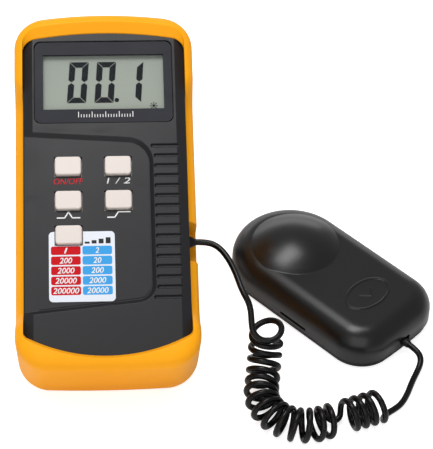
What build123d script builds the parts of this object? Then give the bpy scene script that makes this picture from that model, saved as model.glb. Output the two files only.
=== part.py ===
from build123d import *
from math import atan2, ceil, cos, pi, radians, sin, sqrt, tan
import os

# Hand-held light meter in a rubber holster, propped on its tilt stand, with a sensor head on a curly cord.
# Millimetres. The table is z = 0, +X runs to the right of the meter and +Y away from its foot end.
# The origin is the middle of the footprint of meter and sensor head together.

# Whole meter, holster included
meter_length = 147.4
meter_width = 71.0
meter_depth = 41.0
tilt = 27.5
meter_x = -48.1
meter_y = -54.93

# Holster
boot_wall = 3.3
boot_end_wall = 3.5
boot_back_wall = 5.0
boot_bulge = 1.2
boot_top_bulge = 3.4
boot_corner_radius = 13.0
boot_back_radius = 8.0
boot_rim_radius = 5.0
rim_height = 2.5
lip_top = 5.1
lip_top_slope = 4.2
lip_low = 2.0
lip_low_slope = 1.6
lip_corner_rise = 8.4
lip_arch = 3.2
lip_corner_radius = 6.0
lip_low_corner_radius = 3.0
scoop_low_share = 0.1221
scoop_high_share = 0.7937
scoop_depth = 9.5
scoop_ramp = 7.0
scoop_radius = 6.0
notch_v_share = 0.3596
notch_width = 16.0
notch_depth = 15.0
notch_radius = 1.2
case_gap = 0.15
overrun = 2.0

# Tilt stand
hinge_from_foot_share = 0.7056
hinge_inset = 1.7
stand_lean = 15.0
stand_width_share = 0.5634
stand_thickness = 2.6
stand_barrel_radius = 1.7
stand_foot_radius = 1.5
stand_slot_width = 12.0
stand_slot_length = 24.0
stand_slot_radius = 4.0
stand_pin_radius = 1.0
stand_pin_grip = 3.5
stand_pin_reach = 6.0
stand_clearance = 0.6
recess_floor = 1.2
pin_clearance = 0.05

# Case halves
case_wall = 2.2
front_wall = 3.2
split_level_share = 0.5122
case_back_radius = 4.0
shoulder_width_share = 0.0535
shoulder_drop = 1.6
boss_radius = 2.8
boss_u_share = 0.3099
boss_from_end = 5.2
screw_radius = 1.3
screw_head_radius = 2.3
screw_head_height = 1.4
screw_cross_length = 2.6
screw_cross_width = 0.65
screw_cross_depth = 0.7
screw_clearance = 0.2
screw_bite = 9.0

# Display
bezel_width_share = 0.7648
bezel_height_share = 0.2347
bezel_thickness = 1.2
bezel_sink = 0.3
bezel_gap = 0.3
bezel_corner_radius = 2.6
bezel_u = -0.2
bezel_v_share = 0.8005
view_width_share = 0.6732
view_height_share = 0.159
view_rise = 0.1
window_margin = 1.7
window_thickness = 0.8
glass_thickness = 2.4
glass_gap = 0.2
display_frame_wall = 1.8
display_frame_lip = 2.0
display_frame_drop = 0.2
strip_width = 1.6
strip_length_share = 0.6197
strip_inset = 3.2

# Keypad
keypad_depth = 1.4
keypad_slope = 1.5
keypad_right_share = 0.2437
keypad_top_left_share = 0.6486
keypad_top_right_share = 0.6241
keypad_low_right_share = 0.1927
keypad_low_left_share = 0.1567
keypad_top_radius = 9.0
keypad_low_radius = 6.0
panel_left_share = -0.369
panel_margin = 0.5
panel_thickness = 0.3
key_width = 10.2
key_height = 7.5
key_corner_radius = 1.3
key_edge_radius = 0.5
key_proud = 2.1
key_gap = 0.4
key_flange = 0.8
key_flange_thickness = 1.0
key_travel = 0.8
key_free_play = 0.1
key_stem_width = 4.4
key_left_u_share = -0.2056
key_right_u_share = 0.069
key_first_v_share = 0.559
key_pitch_share = 0.0963
switch_size = 6.0
switch_height = 4.3
switch_plunger_radius = 1.7
switch_plunger_height = 0.6

# Range label
label_width_share = 0.3577
label_height_share = 0.192
label_u_share = -0.1352
label_v_share = 0.2809
label_thickness = 0.2
label_corner_radius = 1.6

# Grip grooves beside the keypad
groove_count = 16
groove_pitch_share = 0.02814
groove_width = 1.7
groove_depth = 0.8
groove_length_share = 0.1437
groove_u_share = 0.3394
groove_first_v_share = 0.6137
groove_end_extra = 1.2
groove_taper = 32.0

# Main board and what it carries
board_thickness = 1.6
board_drop = 12.9
board_side_gap = 0.85
board_low_share = 0.1187
board_high_share = 0.9091
board_post_radius = 2.6
board_post_u_share = 0.3521
board_post_low_v_share = 0.3325
board_post_high_v_share = 0.6581
board_screw_length = 6.0
board_screw_radius = 1.1
board_screw_head_radius = 2.1
board_screw_head_height = 1.3
chip_size = 14.0
chip_height = 2.0
chip_edge = 0.5
chip_u_share = 0.1268
chip_v_share = 0.2985
pot_size = 6.5
pot_height = 4.6
pot_screw_radius = 1.2
pot_screw_height = 0.5
pot_u_share = 0.2887
pot_first_v_share = 0.5563
pot_pitch_share = 0.0746
pot_count = 3
crystal_width = 4.6
crystal_length = 11.0
crystal_height = 3.6
crystal_u_share = 0.3099
crystal_v_share = 0.2307
capacitor_radius = 2.5
capacitor_height = 5.4
capacitor_first_u_share = -0.2535
capacitor_pitch_share = 0.1268
capacitor_count = 3
capacitor_v_share = 0.1899

# Battery compartment
battery_length_share = 0.6831
battery_width_share = 0.1798
battery_board_gap = 0.45
battery_edge_radius = 1.5
battery_stud_radius = 2.8
battery_stud_height = 2.2
battery_stud_pitch = 12.7
battery_room = 0.85
battery_v_share = 0.1967
compartment_wall = 1.5
compartment_board_gap = 6.25
door_ledge = 1.8
door_thickness = 1.5
door_gap = 0.3
door_corner_radius = 2.0
door_grip_width = 14.0
door_grip_height = 1.2
door_grip_depth = 0.6
door_grip_pitch = 2.6
door_grip_count = 3
door_grip_place_share = 0.333
door_window_margin = 1.2
pad_thickness = 0.7
pad_gap = 0.3
pad_margin = 5.0
snap_thickness = 3.0
snap_margin = 1.25
snap_height_share = 0.6857
snap_fit = 0.15
wire_radius = 0.6
wire_pitch = 8.0

# Sensor head
head_x = 42.0
head_y = -3.8
head_turn = -48.2
head_length = 88.0
head_width = 49.8
head_height = 16.6
head_rear_radius = 15.0
head_rear_bow = 1.4
dome_shift = 1.6
cap_wall = 1.8
cap_low = 3.6
cord_notch_gap = 0.5
cord_notch_radius = 1.0
cap_edge_radius = 9.0
bulge_radius_share = 0.7631
bulge_height = 6.0
bulge_seat = 1.2
emblem_from_rear = 21.5
emblem_half_width = 11.0
emblem_half_length = 7.0
emblem_line = 0.8
emblem_height = 0.3
arrow_length = 7.0
arrow_width = 3.6
thumb_slot_x = 5.2
thumb_slot_length = 14.0
thumb_slot_height = 1.3
thumb_slot_radius = 0.4
thumb_slot_rise = 1.6
base_inset = 0.8
base_flange = 3.3
base_floor = 2.0
base_edge_radius = 1.2
cap_fit = 0.5
head_split = 4.8
deck_gap = 2.8
deck_wall = 1.6
deck_edge_radius = 3.5
diffuser_rise = 6.6
diffuser_wall = 1.6
diffuser_flange = 1.6
diffuser_flange_thickness = 1.2
diffuser_gap = 0.2
sensor_board_share = 0.9459
sensor_board_level = 3.2
sensor_board_thickness = 1.6
diode_radius = 4.5
diode_height = 2.0
diode_edge = 0.4
filter_share = 0.6351
filter_thickness = 1.2
filter_level = 7.6
filter_gap = 0.1
filter_ring_share = 0.7838
filter_ring_seat = 1.2
filter_ring_top = 9.1
head_post_radius = 2.2
head_post_gap = 0.6
head_post_bite = 0.4
head_post_rear_room = 20.0
head_post_side_room = 6.0
head_screw_length = 7.5
head_screw_radius = 1.0
head_screw_head_radius = 1.8
head_screw_head_height = 1.0
head_screw_socket_radius = 0.5
standoff_radius = 1.6
standoff_circle_share = 0.7432
standoff_count = 3
sensor_wire_radius = 0.5
sensor_wire_pitch = 2.2

# Cord and its grommets
cord_diameter = 2.5
cord_exit_v_share = 0.3799
grommet_radius = 2.6
grommet_flange_radius = 3.6
grommet_flange_thickness = 1.2
grommet_nose_radius = 1.5
grommet_nose_length = 3.0
head_grommet_radius = 2.2
head_grommet_flange_radius = 2.6
head_grommet_nose_radius = 1.45
head_grommet_nose_length = 4.6
curl_radius = 5.75
curl_floor_gap = 0.05
coil_x = 59.4
coil_y = -7.6
coil_turn = -9.0
crown_radius = 9.8
crown_sweep = 60.0
rise_radius = 17.0
rise_sweep = 72.0
bend_radius = 16.5
bend_sweep = 118.0
row_pitch = 3.9
crown_turns = 1.13
rise_turns = 4.62
bend_turns = 7.5
first_row_turns = 1.32
last_row_turns = 3.72
reversal_radius = 2.9
unwind_radius = 5.0
leave_angle = 15.0
turn_parts = 4
arc_parts = 4
heading_parts = 12
corner_share = 0.45
lead_start_run = 5.2
coil_entry_run = 5.6
lead_end_run = 4.2

# Routes of the two leads, measured from the middle of the meter's foot end on the table
meter_lead_route = [
    (44.6, 37.4, 41.0),
    (47.9, 32.0, 39.9),
    (50.5, 25.0, 38.6),
    (52.3, 17.5, 36.9),
]
sensor_lead_route = [
    (117.3, -7.5, 1.3),
    (120.6, 0.4, 1.3),
    (124.0, 6.6, 1.9),
    (125.3, 10.2, 3.4),
]

os.makedirs("parts", exist_ok=True)

# Planes of the leaning meter: across its width, up its length, out of its face
lean = radians(tilt)
up_length = Vector(0, cos(lean), sin(lean))
out_of_face = Vector(0, -sin(lean), cos(lean))
boot_lift = boot_back_radius * (1 - sin(lean) - cos(lean))
meter = Plane(origin=(meter_x, meter_y, boot_lift), x_dir=(1, 0, 0), z_dir=out_of_face)
out_axis = Axis(meter.origin, out_of_face)

# Layout of the meter, as shares of its width, length and depth
stand_width = stand_width_share * meter_width
shoulder_width = shoulder_width_share * meter_width
boss_u = boss_u_share * meter_width
bezel_width = bezel_width_share * meter_width
view_width = view_width_share * meter_width
strip_length = strip_length_share * meter_width
keypad_right = keypad_right_share * meter_width
panel_left = panel_left_share * meter_width
key_left_u = key_left_u_share * meter_width
key_right_u = key_right_u_share * meter_width
label_width = label_width_share * meter_width
label_u = label_u_share * meter_width
groove_length = groove_length_share * meter_width
groove_u = groove_u_share * meter_width
board_post_u = board_post_u_share * meter_width
chip_u = chip_u_share * meter_width
pot_u = pot_u_share * meter_width
crystal_u = crystal_u_share * meter_width
capacitor_first_u = capacitor_first_u_share * meter_width
capacitor_pitch = capacitor_pitch_share * meter_width
battery_length = battery_length_share * meter_width
scoop_low = scoop_low_share * meter_length
scoop_high = scoop_high_share * meter_length
notch_v = notch_v_share * meter_length
cord_exit_v = cord_exit_v_share * meter_length
hinge_from_foot = hinge_from_foot_share * meter_length
bezel_height = bezel_height_share * meter_length
bezel_v = bezel_v_share * meter_length
view_height = view_height_share * meter_length
keypad_top_left = keypad_top_left_share * meter_length
keypad_top_right = keypad_top_right_share * meter_length
keypad_low_right = keypad_low_right_share * meter_length
keypad_low_left = keypad_low_left_share * meter_length
key_first_v = key_first_v_share * meter_length
key_pitch = key_pitch_share * meter_length
label_height = label_height_share * meter_length
label_v = label_v_share * meter_length
groove_first_v = groove_first_v_share * meter_length
board_low = board_low_share * meter_length
board_high = board_high_share * meter_length
board_post_low_v = board_post_low_v_share * meter_length
board_post_high_v = board_post_high_v_share * meter_length
chip_v = chip_v_share * meter_length
pot_first_v = pot_first_v_share * meter_length
pot_pitch = pot_pitch_share * meter_length
crystal_v = crystal_v_share * meter_length
capacitor_v = capacitor_v_share * meter_length
battery_v = battery_v_share * meter_length
battery_width = battery_width_share * meter_length
groove_pitch = groove_pitch_share * meter_length
split_level = split_level_share * meter_depth

# Sizes that follow from the named ones
face_level = meter_depth - rim_height
case_width = meter_width - 2 * (boot_wall + case_gap)
case_low = boot_end_wall + case_gap
case_high = meter_length - boot_end_wall - case_gap
case_back = boot_back_wall + case_gap
case_corner_radius = boot_corner_radius - boot_wall
inner_side = case_width / 2 - case_wall
inner_face = face_level - front_wall
inner_back = case_back + case_wall
board_level = face_level - board_drop
board_top = board_level + board_thickness
board_width = 2 * (inner_side - board_side_gap)
compartment_height = board_level - inner_back - compartment_board_gap
keypad_floor = face_level - keypad_depth
boss_vs = (case_low + boss_from_end, case_high - boss_from_end)
bezel_floor = face_level - bezel_sink - bezel_thickness
view_v = bezel_v + view_rise
glass_width = view_width + 2 * window_margin
glass_height = view_height + 2 * window_margin
glass_top = bezel_floor - window_thickness - glass_gap
glass_low = glass_top - glass_thickness
notch_level = meter_depth - scoop_depth - notch_depth
cord_level = split_level
key_places = {
    "key_power": (key_left_u, key_first_v),
    "key_unit": (key_right_u, key_first_v),
    "key_peak": (key_left_u, key_first_v - key_pitch),
    "key_hold": (key_right_u, key_first_v - key_pitch),
    "key_range": (key_left_u, key_first_v - 2 * key_pitch),
}
board_post_places = [
    (side * board_post_u, v) for side in (-1, 1) for v in (board_post_low_v, board_post_high_v)
]
boss_places = [(side * boss_u, v) for side in (-1, 1) for v in boss_vs]


def level(height):
    """Plane parallel to the meter's face, at a height above its back."""
    return meter.offset(height)


def point(u, v, w):
    """Place across, along and above the meter's back, as a point of the whole object."""
    return meter.from_local_coords(Vector(u, v, w))


def side_plane(u):
    """Plane seen from the meter's right side: first axis up its length, second out of its face."""
    return Plane(origin=point(u, 0, 0), x_dir=up_length, z_dir=(1, 0, 0))


def end_plane(v):
    """Plane seen from the meter's top end: first axis across, second out of its face."""
    return Plane(origin=point(0, v, 0), x_dir=(1, 0, 0), z_dir=-up_length)


def arched_outline(width, low, high, low_bulge, high_bulge, corner):
    """Rounded outline with straight sides and slightly arched ends."""
    half = width / 2
    with BuildSketch(mode=Mode.PRIVATE) as outline:
        with BuildLine():
            Line((-half, low + low_bulge), (-half, high - high_bulge))
            ThreePointArc((-half, high - high_bulge), (0, high), (half, high - high_bulge))
            Line((half, high - high_bulge), (half, low + low_bulge))
            ThreePointArc((half, low + low_bulge), (0, low), (-half, low + low_bulge))
        make_face()
        fillet(outline.vertices(), corner)
    return outline.sketch


def case_outline(inset):
    """Outline of the case, drawn in by an inset."""
    return arched_outline(
        case_width - 2 * inset,
        case_low + inset,
        case_high - inset,
        boot_bulge,
        boot_bulge,
        case_corner_radius - inset,
    )


def opening_outline(top_grow, low_grow):
    """Opening of the holster over the meter's face."""
    half = case_width / 2 + case_gap
    top = case_high + case_gap - lip_top + top_grow
    low = case_low - case_gap + lip_low - low_grow
    with BuildSketch(mode=Mode.PRIVATE) as outline:
        with BuildLine():
            Line((-half, low + lip_corner_rise), (-half, top - lip_arch))
            ThreePointArc((-half, top - lip_arch), (0, top), (half, top - lip_arch))
            Line((half, top - lip_arch), (half, low + lip_corner_rise))
            ThreePointArc((half, low + lip_corner_rise), (0, low), (-half, low + lip_corner_rise))
        make_face()
        corners = outline.vertices().group_by(Axis.Y)
        fillet(corners[-1], lip_corner_radius)
        fillet(outline.vertices().group_by(Axis.Y)[0], lip_low_corner_radius)
    return outline.sketch


def keypad_outline(grow):
    """Sunk keypad area, open towards the meter's left side."""
    left = -case_width / 2 - overrun
    with BuildSketch(mode=Mode.PRIVATE) as outline:
        with BuildLine():
            Polyline(
                (left, keypad_low_left - grow),
                (keypad_right + grow, keypad_low_right - grow),
                (keypad_right + grow, keypad_top_right + grow),
                (left, keypad_top_left + grow),
                close=True,
            )
        make_face()
        right = outline.vertices().sort_by(Axis.X)[-2:].sort_by(Axis.Y)
        fillet(right[0], keypad_low_radius + grow)
        fillet(outline.vertices().sort_by(Axis.X)[-1:], keypad_top_radius + grow)
    return outline.sketch


def head_outline(inset):
    """Outline of the sensor head: round in front, rounded corners behind."""
    half = head_width / 2 - inset
    front = -head_length / 2 + inset
    rear = head_length / 2 - inset
    centre = -head_length / 2 + head_width / 2
    with BuildSketch(mode=Mode.PRIVATE) as outline:
        with BuildLine():
            ThreePointArc((centre, half), (front, 0), (centre, -half))
            Line((centre, -half), (rear - head_rear_bow, -half))
            ThreePointArc((rear - head_rear_bow, -half), (rear, 0), (rear - head_rear_bow, half))
            Line((rear - head_rear_bow, half), (centre, half))
        make_face()
        fillet(outline.vertices().sort_by(Axis.X)[-2:], head_rear_radius - inset)
    return outline.sketch


# Stand geometry, from the hinge to the table
hinge = point(0, hinge_from_foot, hinge_inset)
stand_angle = radians(stand_lean)
stand_length = (hinge.Z - stand_foot_radius) / cos(stand_angle)
stand = Plane(origin=hinge, x_dir=(1, 0, 0), z_dir=(0, cos(stand_angle), sin(stand_angle)))
recess_top = hinge_from_foot + stand_barrel_radius + stand_clearance
recess_low = hinge_from_foot - stand_length - stand_foot_radius - stand_clearance
recess_depth = boot_back_wall - recess_floor
recess_width = stand_width + 2 * stand_clearance
compartment_length = battery_length + 2 * battery_room
compartment_width = battery_width + 2 * battery_room
door_width = compartment_length + 2 * (door_ledge - door_gap)
door_height = compartment_width + 2 * (door_ledge - door_gap)

# Holster
with BuildPart() as holster:
    with BuildSketch(meter):
        add(arched_outline(meter_width, 0, meter_length, boot_bulge, boot_top_bulge, boot_corner_radius))
    extrude(amount=meter_depth)
    fillet(holster.faces().sort_by(out_axis)[0].edges(), boot_back_radius)
    with BuildSketch(side_plane(-meter_width)) as scoop:
        with BuildLine():
            Polyline(
                (scoop_low, meter_depth),
                (scoop_low, meter_depth + overrun),
                (scoop_high, meter_depth + overrun),
                (scoop_high, meter_depth),
                (scoop_high - scoop_ramp, meter_depth - scoop_depth),
                (scoop_low + scoop_ramp, meter_depth - scoop_depth),
                close=True,
            )
        make_face()
        fillet(scoop.vertices().group_by(Axis.Y)[0], scoop_radius)
    extrude(amount=2 * meter_width, mode=Mode.SUBTRACT)
    rims = holster.edges().filter_by(Axis.X).filter_by(
        lambda edge: abs(meter.to_local_coords(edge.center()).Z - meter_depth) < case_gap
    )
    fillet(rims, scoop_radius)
    front_faces = holster.faces().filter_by(
        lambda face: meter.to_local_coords(face.center()).Z > meter_depth - scoop_depth - case_gap
        and face.normal_at().dot(out_of_face) > case_gap
    )
    fillet(front_faces.edges().filter_by(Axis.X, reverse=True), boot_rim_radius)
    with BuildSketch(level(boot_back_wall)):
        add(case_outline(-case_gap))
    extrude(amount=face_level - boot_back_wall, mode=Mode.SUBTRACT)
    with BuildSketch(level(face_level)):
        add(opening_outline(0, 0))
    with BuildSketch(meter.offset(meter_depth)):
        add(opening_outline(lip_top_slope, lip_low_slope))
    loft(mode=Mode.SUBTRACT)
    with BuildSketch(side_plane(case_width / 2 - overrun)):
        with Locations((notch_v, notch_level + notch_depth)):
            RectangleRounded(notch_width, 2 * notch_depth, notch_radius)
    extrude(amount=boot_wall + 2 * overrun, mode=Mode.SUBTRACT)
    with BuildSketch(meter):
        with Locations((0, (recess_low + recess_top) / 2)):
            RectangleRounded(recess_width, recess_top - recess_low, stand_clearance)
    extrude(amount=recess_depth, mode=Mode.SUBTRACT)
    with BuildSketch(side_plane(-recess_width / 2 - stand_pin_grip)):
        with Locations((hinge_from_foot, hinge_inset)):
            Circle(stand_pin_radius)
    extrude(amount=recess_width + 2 * stand_pin_grip, mode=Mode.SUBTRACT)
    with BuildSketch(meter):
        with Locations((0, battery_v)):
            RectangleRounded(
                door_width + 2 * door_window_margin,
                door_height + 2 * door_window_margin,
                door_corner_radius + door_window_margin,
            )
    extrude(amount=boot_back_wall + overrun, mode=Mode.SUBTRACT)
holster.part.label = "holster"
export_step(holster.part, "parts/holster.step")

# Tilt stand, folded out
with BuildPart() as tilt_stand:
    with BuildSketch(Plane(origin=hinge, x_dir=stand.y_dir, z_dir=(-1, 0, 0))):
        Circle(stand_barrel_radius)
        with Locations((stand_length, 0)):
            Circle(stand_foot_radius)
        with Locations((stand_length / 2, 0)):
            Rectangle(stand_length, stand_thickness)
    extrude(amount=stand_width / 2, both=True)
    with BuildSketch(stand.offset(-stand_barrel_radius)):
        with Locations((0, stand_length / 2)):
            RectangleRounded(stand_slot_width, stand_slot_length, stand_slot_radius)
    extrude(amount=2 * stand_barrel_radius, mode=Mode.SUBTRACT)
    with BuildSketch(Plane(origin=hinge, x_dir=(0, 1, 0), z_dir=(1, 0, 0))):
        Circle(stand_pin_radius + pin_clearance)
    extrude(amount=stand_width / 2, both=True, mode=Mode.SUBTRACT)
    with BuildSketch(Plane(origin=hinge, x_dir=(0, 1, 0), z_dir=(1, 0, 0))):
        Circle(stand_pin_radius + pin_clearance)
    extrude(amount=stand_width / 2 - stand_pin_reach - stand_clearance, both=True)
tilt_stand.part.label = "tilt_stand"
export_step(tilt_stand.part, "parts/tilt_stand.step")

# Two hinge pins, from the holster's wall into the stand's barrel
with BuildPart() as stand_pins:
    for side in (-1, 1):
        start = side * (stand_width / 2 - stand_pin_reach)
        with BuildSketch(side_plane(start)):
            with Locations((hinge_from_foot, hinge_inset)):
                Circle(stand_pin_radius)
        extrude(amount=side * (stand_pin_reach + stand_clearance + stand_pin_grip))
stand_pins.part.label = "stand_pins"
export_step(stand_pins.part, "parts/stand_pins.step")

# Rear case, with the battery compartment and the screw bosses
with BuildPart() as rear_case:
    with BuildSketch(level(case_back)):
        add(case_outline(0))
    extrude(amount=split_level - case_back)
    fillet(rear_case.faces().sort_by(out_axis)[0].edges(), case_back_radius)
    with BuildSketch(level(inner_back)):
        add(case_outline(case_wall))
    extrude(amount=split_level - inner_back, mode=Mode.SUBTRACT)
    with BuildSketch(level(inner_back)):
        with Locations((0, battery_v)):
            Rectangle(
                compartment_length + 2 * compartment_wall,
                compartment_width + 2 * compartment_wall,
            )
        with Locations(*boss_places):
            Circle(boss_radius)
    extrude(amount=compartment_height)
    with BuildSketch(level(inner_back)):
        with Locations(*boss_places):
            Circle(boss_radius)
    extrude(amount=split_level - inner_back)
    with BuildSketch(level(case_back)):
        with Locations((0, battery_v)):
            Rectangle(compartment_length, compartment_width)
        with Locations(*boss_places):
            Circle(screw_radius + screw_clearance)
    extrude(amount=split_level - case_back, mode=Mode.SUBTRACT)
    with BuildSketch(level(case_back)):
        with Locations((0, battery_v)):
            RectangleRounded(
                door_width + 2 * door_gap, door_height + 2 * door_gap, door_corner_radius + door_gap
            )
    extrude(amount=door_thickness, mode=Mode.SUBTRACT)
    with BuildSketch(level(case_back)):
        with Locations(*boss_places):
            Circle(screw_head_radius + screw_clearance)
    extrude(amount=screw_head_height, mode=Mode.SUBTRACT)
    with BuildSketch(side_plane(inner_side - overrun)):
        with Locations((cord_exit_v, cord_level)):
            Circle(grommet_radius)
    extrude(amount=case_wall + 2 * overrun, mode=Mode.SUBTRACT)
rear_case.part.label = "rear_case"
export_step(rear_case.part, "parts/rear_case.step")

# Front case, with its sunk keypad, display pocket, sloping shoulders and grip grooves
with BuildPart() as front_case:
    with BuildSketch(level(split_level)):
        add(case_outline(0))
    extrude(amount=face_level - split_level)
    with BuildSketch(end_plane(case_high + overrun)):
        with BuildLine():
            Polyline(
                (case_width / 2 - shoulder_width, face_level),
                (case_width / 2 + shoulder_width, face_level - 2 * shoulder_drop),
                (case_width / 2 + shoulder_width, face_level + overrun),
                (case_width / 2 - shoulder_width, face_level + overrun),
                close=True,
            )
        make_face()
        mirror(about=Plane.YZ)
    extrude(amount=case_high - case_low + 2 * overrun, mode=Mode.SUBTRACT)
    with BuildSketch(level(split_level)):
        add(case_outline(case_wall))
    extrude(amount=inner_face - split_level, mode=Mode.SUBTRACT)
    with BuildSketch(level(split_level)):
        with Locations(*boss_places):
            Circle(boss_radius)
    extrude(amount=inner_face - split_level)
    with BuildSketch(level(board_top)):
        with Locations(*board_post_places):
            Circle(board_post_radius)
    extrude(amount=inner_face - board_top)
    with BuildSketch(level(split_level)):
        with Locations(*boss_places):
            Circle(screw_radius)
    extrude(amount=screw_bite + screw_clearance, mode=Mode.SUBTRACT)
    with BuildSketch(level(board_top)):
        with Locations(*board_post_places):
            Circle(board_screw_radius)
    extrude(amount=board_screw_length - board_thickness + screw_clearance, mode=Mode.SUBTRACT)
    with BuildSketch(level(bezel_floor)):
        with Locations((bezel_u, bezel_v)):
            RectangleRounded(
                bezel_width + 2 * bezel_gap, bezel_height + 2 * bezel_gap, bezel_corner_radius
            )
    extrude(amount=face_level - bezel_floor + overrun, mode=Mode.SUBTRACT)
    with BuildSketch(level(inner_face)):
        with Locations((bezel_u, view_v)):
            Rectangle(glass_width + 2 * glass_gap, glass_height + 2 * glass_gap)
    extrude(amount=bezel_floor - inner_face, mode=Mode.SUBTRACT)
    with BuildSketch(level(keypad_floor)):
        add(keypad_outline(0))
    with BuildSketch(level(face_level)):
        add(keypad_outline(keypad_slope))
    loft(mode=Mode.SUBTRACT)
    with BuildSketch(level(inner_face)):
        with Locations(*key_places.values()):
            Rectangle(key_width + 2 * key_gap, key_height + 2 * key_gap)
    extrude(amount=front_wall, mode=Mode.SUBTRACT)
    with BuildSketch(level(face_level)):
        with Locations((groove_u, groove_first_v - (groove_count - 1) * groove_pitch / 2)):
            with GridLocations(0, groove_pitch, 1, groove_count):
                SlotOverall(groove_length, groove_width)
        for v in (groove_first_v, groove_first_v - (groove_count - 1) * groove_pitch):
            with Locations((groove_u - groove_end_extra / 2, v)):
                SlotOverall(groove_length + groove_end_extra, groove_width)
    extrude(amount=-groove_depth, taper=groove_taper, mode=Mode.SUBTRACT)
    with BuildSketch(side_plane(inner_side - overrun)):
        with Locations((cord_exit_v, cord_level)):
            Circle(grommet_radius)
    extrude(amount=case_wall + 2 * overrun, mode=Mode.SUBTRACT)
front_case.part.label = "front_case"
export_step(front_case.part, "parts/front_case.step")

# Case screws, driven from the back
with BuildPart() as case_screws:
    with BuildSketch(level(case_back)):
        with Locations(*boss_places):
            Circle(screw_head_radius)
    extrude(amount=screw_head_height)
    with BuildSketch(level(case_back + screw_head_height)):
        with Locations(*boss_places):
            Circle(screw_radius)
    extrude(amount=split_level + screw_bite - case_back - screw_head_height)
    with BuildSketch(level(case_back)):
        with Locations(*boss_places):
            Rectangle(screw_cross_length, screw_cross_width)
            Rectangle(screw_cross_width, screw_cross_length)
    extrude(amount=screw_cross_depth, mode=Mode.SUBTRACT)
case_screws.part.label = "case_screws"
export_step(case_screws.part, "parts/case_screws.step")

# Display bezel, a dark frame let into the front case
with BuildPart() as lcd_bezel:
    with BuildSketch(level(bezel_floor)):
        with Locations((bezel_u, bezel_v)):
            RectangleRounded(bezel_width, bezel_height, bezel_corner_radius)
        with Locations((bezel_u, view_v)):
            Rectangle(view_width, view_height, mode=Mode.SUBTRACT)
    extrude(amount=bezel_thickness)
lcd_bezel.part.label = "lcd_bezel"
export_step(lcd_bezel.part, "parts/lcd_bezel.step")

# Clear window behind the bezel
with BuildPart() as lcd_window:
    with BuildSketch(level(bezel_floor - window_thickness)):
        with Locations((bezel_u, view_v)):
            Rectangle(glass_width, glass_height)
    extrude(amount=window_thickness)
lcd_window.part.label = "lcd_window"
export_step(lcd_window.part, "parts/lcd_window.step")

# Liquid-crystal glass
with BuildPart() as lcd_glass:
    with BuildSketch(level(glass_low)):
        with Locations((bezel_u, view_v)):
            Rectangle(glass_width, glass_height)
    extrude(amount=glass_thickness)
lcd_glass.part.label = "lcd_glass"
export_step(lcd_glass.part, "parts/lcd_glass.step")

# Display frame, which holds the glass above the board
with BuildPart() as lcd_frame:
    with BuildSketch(level(board_top)):
        with Locations((bezel_u, view_v)):
            Rectangle(
                glass_width + 2 * (glass_gap + display_frame_wall),
                glass_height + 2 * (glass_gap + display_frame_wall),
            )
            Rectangle(
                glass_width - 2 * display_frame_lip,
                glass_height - 2 * display_frame_lip,
                mode=Mode.SUBTRACT,
            )
    extrude(amount=inner_face - display_frame_drop - board_top)
    with BuildSketch(level(glass_low)):
        with Locations((bezel_u, view_v)):
            Rectangle(glass_width + 2 * glass_gap, glass_height + 2 * glass_gap)
    extrude(amount=glass_thickness, mode=Mode.SUBTRACT)
lcd_frame.part.label = "lcd_frame"
export_step(lcd_frame.part, "parts/lcd_frame.step")

# Conductive rubber strips between board and glass
with BuildPart() as lcd_connectors:
    with BuildSketch(level(board_top)):
        with Locations((bezel_u, view_v)):
            with GridLocations(0, glass_height - 2 * strip_inset, 1, 2):
                Rectangle(strip_length, strip_width)
    extrude(amount=glass_low - board_top)
lcd_connectors.part.label = "lcd_connectors"
export_step(lcd_connectors.part, "parts/lcd_connectors.step")

# Key panel, a thin sheet on the sunk keypad's floor
with BuildPart() as key_panel:
    with BuildSketch(level(keypad_floor)):
        add(keypad_outline(-panel_margin))
        with Locations((panel_left, 0)):
            Rectangle(
                meter_width, 2 * meter_length, align=(Align.MAX, Align.CENTER), mode=Mode.SUBTRACT
            )
        with Locations(*key_places.values()):
            Rectangle(key_width + 2 * key_gap, key_height + 2 * key_gap, mode=Mode.SUBTRACT)
    extrude(amount=panel_thickness)
key_panel.part.label = "key_panel"
export_step(key_panel.part, "parts/key_panel.step")

# Range label on the key panel, cut out for the range key
with BuildPart() as range_label:
    with BuildSketch(level(keypad_floor + panel_thickness)):
        with Locations((label_u, label_v)):
            RectangleRounded(label_width, label_height, label_corner_radius)
        with Locations(key_places["key_range"]):
            Rectangle(key_width + 2 * key_gap, key_height + 2 * key_gap, mode=Mode.SUBTRACT)
    extrude(amount=label_thickness)
range_label.part.label = "range_label"
export_step(range_label.part, "parts/range_label.step")

# Five sprung keys, each with a flange under the front wall and a stem over its switch
key_low = board_top + switch_height + switch_plunger_height + key_travel + key_free_play
flange_low = inner_face - key_free_play - key_flange_thickness
for key_name, key_place in key_places.items():
    with BuildPart() as key:
        with BuildSketch(level(flange_low + key_flange_thickness)):
            with Locations(key_place):
                RectangleRounded(key_width, key_height, key_corner_radius)
        extrude(amount=keypad_floor + key_proud - flange_low - key_flange_thickness)
        fillet(key.faces().sort_by(out_axis)[-1].edges(), key_edge_radius)
        with BuildSketch(level(flange_low)):
            with Locations(key_place):
                RectangleRounded(
                    key_width + 2 * key_flange, key_height + 2 * key_flange, key_corner_radius
                )
        extrude(amount=key_flange_thickness)
        with BuildSketch(level(key_low)):
            with Locations(key_place):
                Rectangle(key_stem_width, key_stem_width)
        extrude(amount=flange_low - key_low)
    key.part.label = key_name
    export_step(key.part, f"parts/{key_name}.step")

# Main board
with BuildPart() as main_board:
    with BuildSketch(level(board_level)):
        with Locations((0, (board_low + board_high) / 2)):
            Rectangle(board_width, board_high - board_low)
        with Locations(*board_post_places):
            Circle(board_screw_radius, mode=Mode.SUBTRACT)
    extrude(amount=board_thickness)
main_board.part.label = "main_board"
export_step(main_board.part, "parts/main_board.step")

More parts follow.
